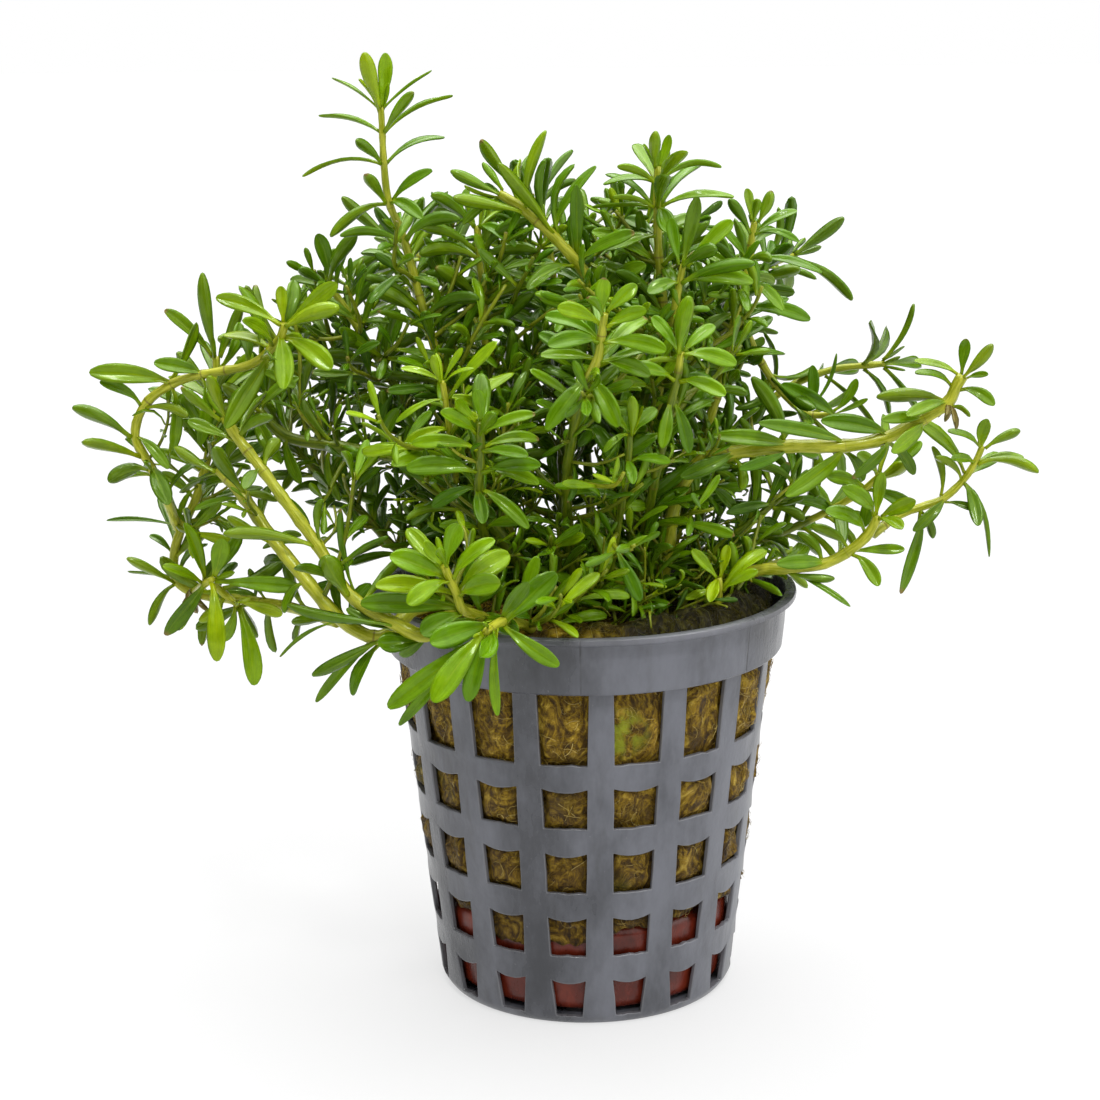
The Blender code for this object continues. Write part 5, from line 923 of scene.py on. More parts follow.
class Space:
    """The room that is left for more leaves: off the ones that are there, and never in front of them."""

    REACH = 1.4
    CELL = 1.5

    def __init__(self, stems):
        self.taken, self.front = {}, {}
        low, high = ([value * 1000 for value in corner] for corner in CAD_BOX)
        self.low, self.high = [value + 0.5 for value in low], [value - 0.5 for value in high]
        for stem in stems.values():
            for leaf_at in stem.leaves:
                self.take(spots_of(leaf_at))
                if leaf_at.face:
                    for share in (0.2, 0.4, 0.6, 0.8, 0.95):
                        cell, near = self.seen_cell(leaf_section(leaf_at, share).middle)
                        self.front[cell] = max(near, self.front.get(cell, -99.0))

    def seen_cell(self, place):
        across, up, near = as_seen(place)
        return (math.floor(across / self.CELL), math.floor(up / self.CELL)), near

    def cell(self, place):
        return tuple(math.floor(value / self.REACH) for value in place)

    def take(self, places):
        for place in places:
            self.taken.setdefault(self.cell(place), []).append(place)

    def crowd(self, places):
        """How many taken places lie closer than REACH to these."""
        found, steps = 0, (-1, 0, 1)
        for place in places:
            x, y, z = self.cell(place)
            for near in ((x + i, y + j, z + k) for i in steps for j in steps for k in steps):
                found += any((other - place).length < self.REACH for other in self.taken.get(near, ()))
        return found

    def hides(self, places):
        """Whether a place would stand in front of a leaf that the camera sees."""
        for place in places:
            cell, near = self.seen_cell(place)
            if near > self.front.get(cell, 99.0) - 0.5:
                return True
        return False

    def put(self, leaf_at, crowd):
        """Takes the room that a leaf needs, if it is there."""
        places = spots_of(leaf_at)
        for place in places:
            if not all(low < value < high for low, value, high in zip(self.low, place, self.high)):
                return False
        if not all(outside(place) for place in places[1:]):
            return False
        if self.crowd(places) > crowd or self.hides(places):
            return False
        self.take(places)
        return True


def spots_of(leaf_at):
    return [leaf_section(leaf_at, share).middle for share in (0.35, 0.6, 0.85, 1.0)]


def path_through(points, step):
    return [place for _, place in along_path(points, step)]


def runs_of(path):
    """How far along a path each of its places is."""
    lengths = [0.0]
    for first, second in zip(path, path[1:]):
        lengths.append(lengths[-1] + (second - first).length)
    return lengths


def place_on(path, runs, run):
    """The place and the way of a path at a distance along it."""
    index = max(k for k, length in enumerate(runs) if length <= run)
    ahead, behind = path[min(index + 1, len(path) - 1)], path[max(index - 1, 0)]
    return path[index], (ahead - behind).normalized()


def round_from(tangent, angle):
    sideways = perpendicular(Vector((1.0, 0.1, 0.0)), tangent).normalized()
    return Matrix.Rotation(angle, 3, tangent) @ sideways


def leaf_out(place, tangent, angle, radius, length, width, rise, bow, dice):
    """A leaf that leaves a stem at an angle round it."""
    out = round_from(tangent, angle)
    way = (out * dice.uniform(0.8, 1.0) + tangent * rise + Vector((0, 0, 0.08))).normalized()
    base = place + out * radius * 0.6
    return leaf_between(base, place + way * length, out, tangent, bow, width, dice.choice((0.0, 0.3, 0.6)))


def joint_leaves(stem, place, tangent, share, phase, count, dice):
    """The leaves of one joint, evenly round the stem."""
    radius = stem.radii[0] + (stem.radii[-1] - stem.radii[0]) * share
    for k in range(count):
        length = dice.uniform(6.5, 10.0) if share > 0.3 else dice.uniform(4.0, 8.0)
        width, rise = length * dice.uniform(0.21, 0.29), dice.uniform(0.1, 0.75)
        bow, angle = dice.uniform(0.08, 0.26), phase + 2 * math.pi * k / count
        yield leaf_out(place, tangent, angle, radius, length, width, rise, bow, dice)


def extra_leaves(stem, path, share_of, space, dice):
    """More leaves at the joints between those that the shoot is drawn with."""
    runs = runs_of(path)
    found, joints, phase, run = [], [], dice.uniform(0, FULL_TURN), 2.0
    while run < runs[-1] - 1.0:
        share = run / runs[-1]
        place, tangent = place_on(path, runs, run)
        joints.append(run)
        phase += math.pi / 2 + dice.uniform(-0.3, 0.3)
        count = dice.choice((2, 3, 3)) if share > 0.25 else 2
        inside = dense(place)
        if dice.random() >= (max(share_of, 0.92) if inside else share_of):
            count = 0
        crowd = 4 if inside or share_of == 1.0 else 1
        leaves = joint_leaves(stem, place, tangent, share, phase, count, dice)
        found += [(leaf_at, share) for leaf_at in leaves if space.put(leaf_at, crowd)]
        run += dice.uniform(3.0, 4.6) * (0.8 if inside or share > 0.75 else 1.0)
    return found, joints


def twig_leaf(place, tangent, angle, thick, length, last, curled, dice):
    """A small leaf of a twig. The curled ones are narrower, and bow and hang more."""
    rise = (dice.uniform(-0.15, 0.6) if curled else dice.uniform(0.2, 0.8)) + (0.5 if last else 0.0)
    bow = dice.uniform(0.16, 0.5) if curled else dice.uniform(0.08, 0.26)
    width = length * (dice.uniform(0.16, 0.23) if curled else dice.uniform(0.21, 0.29))
    return leaf_out(place, tangent, angle, thick, length, width, rise, bow, dice)


def draw_twig(drawing, path, runs, reach, thick, joints, dice):
    """The thin stem of a twig, as far as its last leaf."""
    path = path[:max(3, 1 + sum(length < reach + 0.3 for length in runs))]
    radii = [thick * (1 - 0.4 * k / len(path)) for k in range(len(path))]
    draw_stem(drawing, path, radii, joints, [dice.uniform(0.5, 1.0)] * len(path), dice, sides=5)


def twig(drawing, points, thick, first, sizes, age, space, dice, curled):
    """A thin shoot with small leaves in pairs, each pair across the one below, and a tuft at its tip."""
    path = path_through(points, 1.0)
    runs = runs_of(path)
    joints, leaves, reach, phase, run = [], [], 0.0, dice.uniform(0, FULL_TURN), first * runs[-1]
    while run < runs[-1]:
        share = run / runs[-1]
        place, tangent = place_on(path, runs, run)
        joints.append(run)
        phase += math.pi / 2
        last = run > runs[-1] - 2.4
        for k in range(4 if last else 2):
            angle = phase + (math.pi * k if not last else math.pi / 2 * k)
            length = dice.uniform(*sizes) * (1.0 - 0.35 * share)
            leaf_at = twig_leaf(place, tangent, angle, thick, length, last, curled, dice)
            if space.put(leaf_at, 5):
                leaves.append((leaf_at, age - 0.25 * share))
                reach = run
        run += dice.uniform(1.2, 2.4) if curled else dice.uniform(2.2, 3.4)
    if len(leaves) < 4:
        return
    for leaf_at, leaf_age in leaves:
        draw_leaf(drawing, leaf_at, leaf_age, dice, small=True)
    draw_twig(drawing, path, runs, reach, thick, joints, dice)


def wandering(place, way, length, dice):
    """Points along a short twig that bends upwards a little at random."""
    points = [place]
    for _ in range(4):
        points.append(points[-1] + way * length / 4)
        bend = Vector((dice.gauss(0, 0.2), dice.gauss(0, 0.2), 0.2 + dice.gauss(0, 0.16)))
        way = (way + bend).normalized()
    return points


def side_twigs(drawing, path, age, space, dice):
    """Short leafy shoots out of a stem's joints, where they stay inside the dense middle. Low down they
    are small, curled and close together."""
    runs = runs_of(path)
    run = 0.04 * runs[-1]
    while run < 0.92 * runs[-1]:
        place, tangent = place_on(path, runs, run)
        low = place.z < LOW_TWIGS and dice.random() < 0.65
        length = dice.uniform(2.5, 9.0) if low else dice.uniform(6.0, 18.0)
        ways = [round_from(tangent, dice.uniform(0, FULL_TURN)) for _ in range(dice.choice((1, 2, 2)))]
        way = (min(ways, key=lambda out: out.y) * 0.9 + tangent * 0.35).normalized()
        points = wandering(place, way, length, dice)
        end = points[-1]
        if dense(points[2]) and dense(end) and outside(end) and end.z > PLUG_TOP + 4:
            sizes, thick = ((3.2, 6.0), 0.24) if low else ((5.0, 9.0), 0.36)
            twig(drawing, points, thick, 0.2, sizes, age + dice.uniform(-0.15, 0.25), space, dice, low)
        run += dice.uniform(1.2, 2.4)


def bud(drawing, path, age, space, dice):
    """The youngest leaves at a shoot's tip, still upright."""
    place, tangent = path[-1], (path[-1] - path[-3]).normalized()
    phase = dice.uniform(0, FULL_TURN)
    for k in range(6):
        length = dice.uniform(3.4, 5.6) - 0.3 * k
        width, rise, bow = length * dice.uniform(0.22, 0.28), dice.uniform(1.2, 2.6), dice.uniform(0.04, 0.14)
        angle = phase + k * math.pi / 2 + (k > 3) * 0.8
        leaf_at = leaf_out(place - tangent * 0.5, tangent, angle, 0.2, length, width, rise, bow, dice)
        if space.put(leaf_at, 4):
            draw_leaf(drawing, leaf_at, age - 0.3, dice, small=True)


def wither(drawing, path, spot, dice):
    """Shrivelled brown leaves that hang from the joint seen nearest to a spot."""
    seen_path = [as_seen(place)[:2] for place in path]
    k = min(range(1, len(path) - 1), key=lambda k: math.dist(seen_path[k], spot))
    tangent = (path[k + 1] - path[k - 1]).normalized()
    for _ in range(5):
        out = round_from(tangent, dice.uniform(0, FULL_TURN))
        way = (out * 0.6 + Vector((0, -0.3, -0.8))).normalized()
        base, length, bow = path[k] + out * 0.5, dice.uniform(2.2, 4.2), dice.uniform(0.2, 0.5)
        leaf_at = leaf_between(base, base + way * length, out, tangent, bow, 0.34 * length, 0.3)
        draw_leaf(drawing, leaf_at, 0.8, dice, small=True, withered=True)


def spot_near(foot, wide, deep, dice):
    return foot[0] + dice.gauss(0, wide), foot[1] + dice.gauss(0, deep)


def off_axis(place):
    return math.hypot(place.x, place.y)


def young_shoot(drawing, x, y, space, dice):
    """A thin young shoot of the tangle that leans away as it rises."""
    rise, lean, wide = dice.uniform(2.5, 15), dice.uniform(0, FULL_TURN), dice.uniform(0.2, 1.1)
    points = [Vector((x, y, PLUG_TOP - 0.4))]
    for k in range(1, 5):
        aside = rise * wide / 4 * (1 + 0.3 * k)
        stray = Vector((dice.uniform(-1.3, 1.3), dice.uniform(-1.3, 1.3), dice.uniform(-0.4, 0.4)))
        step = Vector((math.cos(lean) * aside, math.sin(lean) * aside, rise / 4))
        points.append(points[-1] + step + stray)
    if off_axis(points[-1]) < 24.0:
        age = dice.choice((0.4, 0.7, 0.8, 0.9, 1.0, 1.1))
        twig(drawing, points, dice.uniform(0.16, 0.26), 0.1, (3.0, 6.4), age, space, dice, True)


def bare_shoot(drawing, x, y, space, dice):
    """A bare thin stem of the tangle that arches over the rockwool."""
    lean, reach, rise = dice.uniform(0, FULL_TURN), dice.uniform(3, 8), dice.uniform(2, 7)
    points = [Vector((x, y, PLUG_TOP - 0.4))]
    for share in (0.2, 0.4, 0.6, 0.8, 1.0):
        arch = math.sin(math.pi * share * dice.uniform(0.5, 0.85))
        points.append(Vector((
            x + math.cos(lean) * reach * share + dice.uniform(-0.8, 0.8),
            y + math.sin(lean) * reach * share + dice.uniform(-0.8, 0.8),
            PLUG_TOP + 1.6 + rise * arch,
        )))
    if off_axis(points[-1]) < LIP_DIAMETER / 2 and not space.hides(points[2:]):
        path = path_through(points, 0.9)
        radii = [0.24 - 0.12 * k / len(path) for k in range(len(path))]
        draw_stem(drawing, path, radii, [4.0, 8.0], [dice.uniform(0.3, 1.0)] * len(path), dice, sides=5)


def tufts(drawing, foot, space, dice):
    """The tangle at the foot of the stems: thin young shoots, and bare ones that wind through them."""
    for _ in range(TANGLE_SHOOTS):
        x, y = spot_near(foot, 6.0, 4.5, dice)
        if math.hypot(x, y) <= PLUG_FLAT_RADIUS + 2.5 and y >= TANGLE_FRONT:
            young_shoot(drawing, x, y, space, dice)
    for _ in range(TANGLE_STEMS):
        x, y = spot_near(foot, 5.0, 4.0, dice)
        if math.hypot(x, y) <= PLUG_FLAT_RADIUS:
            bare_shoot(drawing, x, y, space, dice)


def draw_shoot(name, stem, space, dice, looks):
    """One shoot with its stem, its leaves and the twigs that fill it out."""
    drawing = Drawing()
    own_age = YOUNG_SHOOTS.get(name, AGES[stem.shoot.tone])
    numbered = along_path(stem.spine, 0.8)
    path = [place for _, place in numbered]
    last = len(stem.spine) - 1
    for leaf_at in stem.leaves:
        draw_leaf(drawing, leaf_at, own_age - 0.3 * (leaf_at.ring / last) ** 2 + 0.12, dice)
    more, joints = extra_leaves(stem, path, OUTLINE_SHOOTS.get(name, 0.45), space, dice)
    for leaf_at, share in more:
        draw_leaf(drawing, leaf_at, own_age + 0.2 - 0.25 * share, dice, small=True)
    thin = 0.6 if name.endswith("sprig") else 0.98 if stem.radii[0] > 0.84 else 0.9
    gain = stem.radii[-1] - stem.radii[0]
    radii = [thin * (stem.radii[0] + gain * number / last) for number, _ in numbered]
    # Stems low in the dense middle get age 1, the darkest green: painted shade.
    painted_shade = [name not in OUTLINE_SHOOTS and place.z < SHADE_HEIGHT and dense(place) for place in path]
    ages_and_shade = [1.0 if dark else 0.7 * own_age * own_age for dark in painted_shade]
    draw_stem(drawing, path, radii, joints, ages_and_shade, dice)
    side_twigs(drawing, path, own_age, space, dice)
    bud(drawing, path, own_age, space, dice)
    if name in WITHERED:
        wither(drawing, path, WITHERED[name], dice)
    if name.endswith("sprig"):
        tufts(drawing, stem.shoot.start[1:], space, dice)
    drawing.piece(f"{name}_plant", [name], looks)


def draw_shoots(stems, looks):
    dice = random.Random(SEED + 1)
    space = Space(stems)
    for name, stem in stems.items():
        draw_shoot(name, stem, space, dice, looks)


# The pot as it looks

WINDOW_STEPS = 6
RIB_STEPS = 4
AROUND = COLUMNS * (WINDOW_STEPS + RIB_STEPS)
SEEN_WALL = 0.7
POT_CENTRE = 2.0  # how near to the axis the floor's innermost ring lies
FLOOR_RADIUS = 17.5
INNER_FLOOR_RADIUS = 17.6
INSIDE_LIP = 24.6  # what lies nearer to the axis belongs to the wall
EDGE_ROUNDING = 0.00018  # metres
# The rounded foot, and the collar and lip up their outside and down their inside: radius, height
FOOT_CURVE = ((18.2, 0.0), (18.75, 0.22), (19.1, 0.7))
LIP_CURVE = (
    (25.45, COLLAR_FOOT), (25.66, 45.8), (25.75, 46.8), (25.98, 49.0), (26.15, 51.3), (26.22, 51.85),
    (26.5, 52.12), (27.25, 52.2), (27.45, 52.32), (27.5, 52.6), (27.42, 52.95), (27.2, 53.1), (26.5, 53.1),
    (26.1, 53.0), (25.9, 52.7), (25.4, 49.8), (24.9, 47.0), (24.4, 46.0),
)
# Points round the clay ring, and round its section
RING_STEPS = 96
RING_SIDES = 32


# The wavy edges that the mould left: how far each window's upper and lower edge sags, and its raggedness
WINDOW_ENDS = {round(row[1], 2): (-0.5, 0.4) for row in WINDOW_ROWS[:-1]}
WINDOW_ENDS[COLLAR_FOOT] = (-0.06, 0.3)
WINDOW_ENDS.update({round(row[0], 2): (0.05, 0.25) for row in WINDOW_ROWS})


def window_half(height):
    """Half a window's width in radians at a height, ribs included between the rows."""
    heights = [value for row in WINDOW_ROWS for value in row[:2]]
    halves = [value for row in WINDOW_ROWS for value in row[2:]]
    return float(np.interp(height, heights, halves))


def on_circle(radius, angle, height):
    return Vector((radius * math.sin(angle), -radius * math.cos(angle), height))


def pot_heights():
    """Where the wall has rings: round the edges and across the middle of every window, and between."""
    heights = []
    for low, high, *_ in WINDOW_ROWS:
        heights += [low, low + 0.3, (low + high) / 2, high - 0.3, high]
        if high < COLLAR_FOOT:
            heights += [high + 0.8, high + 1.7, high + 2.6]
    return heights


def scoop(height):
    """How far the wall is hollowed between the rows of windows."""
    if any(low < height < high for low, high, *_ in WINDOW_ROWS):
        return 0.0
    band = min(abs(height - value) for row in WINDOW_ROWS for value in row[:2])
    return 0.1 * min(band, 2.0) / 2.0


def pot_stations():
    """The pot's rings as (radius, height, half a window's width), and which ones the holes end at: under
    the floor, up the outside, over the lip, down the inside and in over the floor."""
    stations, keys = [], {}

    def station(radius, height, half, key=None):
        keys[key] = len(stations)
        stations.append((radius, height, half))

    slot_half = WINDOW_ROWS[0][2]
    floor = ((POT_CENTRE, None), (SLOT_REACH[0], "in"), (SLOT_REACH[1], "out"))
    for radius, key in (*floor, (FLOOR_RADIUS, None)):
        station(radius, 0.0, slot_half, ("under", key))
    for radius, height in FOOT_CURVE:
        station(radius, height, slot_half)
    for height in pot_heights():
        radius = wall_radius(height) - scoop(height)
        station(radius, height, window_half(height), ("outer", round(height, 3)))
    for radius, height in LIP_CURVE:
        station(radius, height, window_half(COLLAR_FOOT))
    for height in reversed(pot_heights()):
        station(wall_radius(height) - SEEN_WALL, height, window_half(height), ("inner", round(height, 3)))
    station(INNER_FLOOR_RADIUS, FLOOR, slot_half)
    for radius, key in reversed(floor):
        station(radius, FLOOR, slot_half, ("over", key))
    return stations, keys


def pot_point(drawing, column, k, angle, radius, height):
    """A point of the pot. On a window's edge it is moved as the mould left that edge."""
    place = on_circle(radius, angle, height)
    level = round(height, 2)
    rise, edge = 0.0, 0.0
    # edge marks the window rims, which the plastic paints lighter as a painted highlight.
    if k <= WINDOW_STEPS and radius < INSIDE_LIP and level in WINDOW_ENDS:
        sag, tilt = WINDOW_ENDS[level]
        across = 2 * k / WINDOW_STEPS - 1
        ragged = noise.noise(Vector((column * 7.3, k * 1.1, level)))
        rise = sag * (1 - across * across) * (1 + 0.6 * ragged) + tilt * ragged * (1 - abs(across))
        edge = 1.0
    if k in (0, WINDOW_STEPS) and any(low <= height <= high for low, high, *_ in WINDOW_ROWS):
        edge = 1.0
    if 1.0 < height < 52:
        stray = noise.noise_vector(Vector((angle * 9, height * 0.35, radius * 0.4)))
        place += Vector((stray.x * 0.1, stray.y * 0.1, rise))
    return drawing.point(place, (edge, 0.0, 0.0))


def pot_ring(drawing, radius, height, half):
    """The points round the pot at one station, closer together across its windows than across its ribs."""
    ring = []
    rib = 2 * math.pi / COLUMNS - 2 * half
    for column in range(COLUMNS):
        middle = FIRST_COLUMN + 2 * math.pi * column / COLUMNS
        angles = [middle - half + 2 * half * k / WINDOW_STEPS for k in range(WINDOW_STEPS)]
        angles += [middle + half + rib * k / RIB_STEPS for k in range(RIB_STEPS)]
        ring += [pot_point(drawing, column, k, angle, radius, height) for k, angle in enumerate(angles)]
    return ring


def cut_hole(drawing, rings, ends, cells):
    """Lines one hole through the wall, and gives the faces of the wall that it takes away."""
    a, b, c, d = ends
    left, right = cells[0], (cells[-1] + 1) % AROUND
    others = list(range(c, d - 1, -1)) if c > d else list(range(c, d + 1))
    pairs = list(zip(range(a, b + 1), others))
    loop = [(a, c, cell) for cell in cells] + [(row, other, right) for row, other in pairs]
    loop += [(b, d, cell) for cell in reversed(cells)]
    loop += [(row, other, left) for row, other in pairs[-2:0:-1]]
    for (row, other, cell), (next_row, next_other, next_cell) in zip(loop, loop[1:] + loop[:1]):
        here, there = rings[row][cell], rings[next_row][next_cell]
        drawing.face(here, there, rings[next_other][next_cell], rings[other][cell])
    rows = [*range(min(a, b), max(a, b)), *range(min(c, d), max(c, d))]
    return {(row, cell) for row in rows for cell in cells}


def pot_holes(keys):
    """The rings that each row of holes runs between, outside and inside, and one column in how many has
    them."""
    for low, high, *_ in WINDOW_ROWS:
        low, high = round(low, 3), round(high, 3)
        yield [keys[key] for key in (("outer", low), ("outer", high), ("inner", low), ("inner", high))], 1
    slots = (("under", "in"), ("under", "out"), ("over", "in"), ("over", "out"))
    yield [keys[key] for key in slots], COLUMNS // FLOOR_SLOTS


def draw_pot(look):
    """The pot as one closed lattice."""
    drawing = Drawing()
    stations, keys = pot_stations()
    noise.seed_set(SEED)  # for the noise that comes as a vector
    rings = [pot_ring(drawing, *station) for station in stations]
    gone = set()
    for ends, every in pot_holes(keys):
        for column in range(0, COLUMNS, every):
            first = column * (WINDOW_STEPS + RIB_STEPS)
            gone |= cut_hole(drawing, rings, ends, range(first, first + WINDOW_STEPS))
    for row, (near, far) in enumerate(zip(rings, rings[1:])):
        for cell in range(AROUND):
            if (row, cell) not in gone:
                after = (cell + 1) % AROUND
                drawing.face(near[cell], near[after], far[after], far[cell])
    drawing.face(*reversed(rings[0]))
    drawing.face(*rings[-1])
    pot = drawing.piece("net_pot_shell", ["net_pot"], [look], math.radians(40))
    edges = pot.modifiers.new("edges", "BEVEL")
    edges.width = EDGE_ROUNDING
    edges.segments = 2
    edges.limit_method = "ANGLE"
    edges.angle_limit = math.radians(50)
    edges.use_clamp_overlap = True


def rounded(value):
    """A sine or cosine drawn out towards 1, which makes a circle an oblong with round corners."""
    return math.copysign(abs(value) ** 0.26, value)


def draw_ring(look):
    """The clay ring, its edges rounded and its sides a little uneven from the mould."""
    drawing = Drawing()
    tall = (RING_TOP - RING_FOOT) / 2
    rings = []
    for k in range(RING_STEPS):
        angle = 2 * math.pi * k / RING_STEPS
        ring = []
        for i in range(RING_SIDES):
            turn = 2 * math.pi * i / RING_SIDES
            up = rounded(math.sin(turn))
            radius = RING_RADIUS_FOOT + 0.45 + (RING_RADIUS_TOP - RING_RADIUS_FOOT + 0.25) * (up + 1) / 2
            wide = (radius - RING_HOLE_RADIUS) / 2
            stray = noise.noise(Vector((math.cos(angle) * 2.2, math.sin(angle) * 2.2, i * 0.35)))
            across = rounded(math.cos(turn)) * wide * (1 + 0.03 * stray)
            height = RING_FOOT + tall + up * (tall * (1 - 0.03 * abs(stray)))
            ring.append(drawing.point(on_circle(RING_HOLE_RADIUS + wide + across, angle, height)))
        rings.append(ring)
    for here, there in zip(rings, rings[1:] + rings[:1]):
        for i in range(RING_SIDES):
            j = (i + 1) % RING_SIDES
            drawing.face(here[i], there[i], there[j], here[j])
    drawing.piece("clay_weight", ["clay_ring"], [look])


# The rockwool as it looks

WOOL_STEPS = 300  # points round the plug
WOOL_TOP_RINGS = (
    1.0, 0.985, 0.96, 0.93, 0.89, 0.84, 0.78, 0.72, 0.65, 0.58, 0.5, 0.42, 0.34, 0.26, 0.18, 0.1, 0.03,
)
WOOL_ROWS = 80
WOOL_FOOT = 2.4
WOOL_ROW_HEIGHT = 0.6
WOOL_TOP_RADIUS = 24.4
FIBRES = 4300
FIBRE_POINTS = 6
FIBRE_REACH = 24.1  # from the axis, on the plug's top
SIDE_FIBRES = 0.68  # the share of the fibres that lie on the plug's side
# Rolls of wool on the plug's top: place, how wide and how tall
WOOL_ROLLS = (
    (17.5, -9.5, 3.4, 2.2), (21.0, -3.0, 2.6, 3.0), (20.5, 3.5, 3.0, 2.6), (14.0, -14.5, 3.0, 1.2),
    (-12.0, -17.5, 3.6, 2.6), (-6.0, -20.5, 3.0, 1.7), (2.0, -21.0, 4.0, 1.4), (9.5, -19.5, 3.0, 1.4),
)


def in_window(angle, height):
    """How far into a window of the pot a place lies, from 0 at its edge to 1."""
    turn = (angle - FIRST_COLUMN) % (2 * math.pi / COLUMNS)
    turn = min(turn, 2 * math.pi / COLUMNS - turn)
    for low, high, *_ in WINDOW_ROWS:
        if low < height < high:
            side = 1 - turn / window_half(height)
            end = min(height - low, high - height) / ((high - low) / 2)
            return clamped(3 * side) * clamped(3 * end)
    return 0.0


def wool_radius(angle, height):
    """The plug's side: it fills the wall and swells into the windows, most at the right."""
    inner = wall_radius(height) - SEEN_WALL - 0.15
    if height < RING_TOP + 2.2:
        inner -= 0.3 * bell(height - RING_TOP, 1.2)
    if height < RING_TOP:
        inner = RING_HOLE_RADIUS - 0.5
    place = Vector((math.cos(angle) * 11, math.sin(angle) * 11, height * 0.42))
    rough = 0.4 * noise.noise(place) + 0.25 * noise.noise(place * 3.1) + 0.14 * noise.noise(place * 8.0)
    right = bell(angle - 1.45, 0.45)
    swell = 0.75 + 0.8 * noise.noise(place * 0.6) + 0.4 * right * (0.7 + noise.noise(place * 1.3))
    return inner - 0.2 + rough + in_window(angle, height) * max(0.1, swell)


def wool_top(x, y):
    """The plug's top: lumpy, rolled up at the right of the rim and beside the front shoots."""
    place = Vector((x * 0.16, y * 0.16, 3.0))
    lumps = 1.5 * noise.noise(place) + 1.2 * noise.noise(place * 2.7) + 0.6 * noise.noise(place * 7.0)
    out = math.hypot(x, y)
    rim = 1.1 * clamped((out - 15.0) / 6.0)
    rolls = 0.0
    for spot_x, spot_y, wide, tall in WOOL_ROLLS:
        rolls += tall * bell(math.hypot(x - spot_x, y - spot_y), wide)
    edge = 1.6 * max(0.0, (out - 23.0) / 1.4)
    return PLUG_TOP + 0.7 + lumps * (1.0 if out < 20 else 0.8) + 1.3 * rim + rolls - edge


# How far down the wool hangs between the pot's wall and the clay, by the angle round the pot
WOOL_HANGS = (
    (-1.2, 14.2), (-0.98, 13.2), (-0.8, 13.4), (-0.66, 11.0), (-0.4, 10.4), (-0.22, 11.5), (-0.08, 10.9),
    (0.1, 12.6), (0.24, 13.3), (0.36, 12.9), (0.5, 14.2),
)
HANG_STEPS = 90
HANG_ROWS = 12
HANG_TOP = 16.4


def hanging_strip(drawing, k, turns, depths):
    """The front and the back of one upright strip of the hanging wool."""
    angle = turns[0] + (turns[-1] - turns[0]) * k / HANG_STEPS
    foot = float(np.interp(angle, turns, depths)) + 0.9 * noise.noise(Vector((angle * 14, 2.0, 0.0)))
    front, back = [], []
    for i in range(HANG_ROWS + 1):
        share = i / HANG_ROWS
        height = foot + (HANG_TOP - foot) * share
        place = Vector((angle * 20, height * 1.1, 5.0))
        rough = 0.22 * noise.noise(place) + 0.12 * noise.noise(place * 3)
        out = wall_radius(height) - SEEN_WALL - 0.25 + rough
        thick = 0.12 + 0.45 * min(1.0, share * 4) * min(1.0, k / 6, (HANG_STEPS - k) / 6)
        front.append(drawing.point(on_circle(out, angle, height)))
        back.append(drawing.point(on_circle(out - thick, angle, height)))
    return front, back


def hang_wool(drawing):
    """A torn sheet of wool that hangs from the plug over the clay."""
    turns, depths = zip(*WOOL_HANGS)
    strips = [hanging_strip(drawing, k, turns, depths) for k in range(HANG_STEPS + 1)]
    last = HANG_ROWS
    for (front, back), (next_front, next_back) in zip(strips, strips[1:]):
        for i in range(last):
            drawing.face(front[i], next_front[i], next_front[i + 1], front[i + 1])
            drawing.face(back[i], back[i + 1], next_back[i + 1], next_back[i])
        drawing.face(front[0], back[0], next_back[0], next_front[0])
        drawing.face(front[last], next_front[last], next_back[last], back[last])
    (front, back), (end_front, end_back) = strips[0], strips[-1]
    for i in range(last):
        drawing.face(front[i], front[i + 1], back[i + 1], back[i])
        drawing.face(end_front[i], end_back[i], end_back[i + 1], end_front[i + 1])


def draw_wool(looks):
    """The plug: a rough core, pressed into the windows."""
    drawing = Drawing()
    angles = [2 * math.pi * k / WOOL_STEPS for k in range(WOOL_STEPS)]
    rings = []
    for height in (WOOL_FOOT + WOOL_ROW_HEIGHT * k for k in range(WOOL_ROWS)):
        places = [on_circle(wool_radius(angle, height), angle, height) for angle in angles]
        rings.append([drawing.point(place) for place in places])
    for share in WOOL_TOP_RINGS:
        ring = []
        for angle in angles:
            flat = on_circle(WOOL_TOP_RADIUS * share, angle, 0)
            ring.append(drawing.point(Vector((flat.x, flat.y, wool_top(flat.x, flat.y)))))
        rings.append(ring)
    drawing.tube(rings)
    hang_wool(drawing)
    drawing.piece("wool_plug", ["rockwool"], looks)


def curled_steps(lean, length, bend):
    """The steps along a curled fibre, aside and on, from its middle."""
    for k in range(FIBRE_POINTS):
        step = (k - 2.5) / 5 * length
        turned = lean + bend * step * 0.5
        yield step * math.cos(turned), step * math.sin(turned)


def side_fibre(dice):
    """Where a curled fibre lies on the plug's side, in or near a window."""
    low, high, *_ = dice.choice(WINDOW_ROWS[1:] + WINDOW_ROWS[-1:] * 2)
    height = dice.uniform(low - 0.6, high + 0.6)
    angle = FIRST_COLUMN + 2 * math.pi * dice.randrange(COLUMNS) / COLUMNS + dice.gauss(0, 0.075)
    if height < RING_TOP + 0.8 - 3.5 * (dice.random() < 0.25):
        return []
    lean, length, bend = dice.gauss(0.3, 1.0), dice.uniform(0.8, 3.0), dice.gauss(0, 1.5)
    places = []
    for k, (aside, on) in enumerate(curled_steps(lean, length, bend)):
        turn, up = angle + aside / 21.0, min(49.0, max(RING_TOP - 2.4, height + on))
        out = max(wool_radius(turn, up), RING_RADIUS_TOP if up < RING_TOP + 1.5 else 0.0)
        places.append(on_circle(out + 0.06 + 0.16 * abs(math.sin(k * 1.9 + lean)), turn, up))
    return places


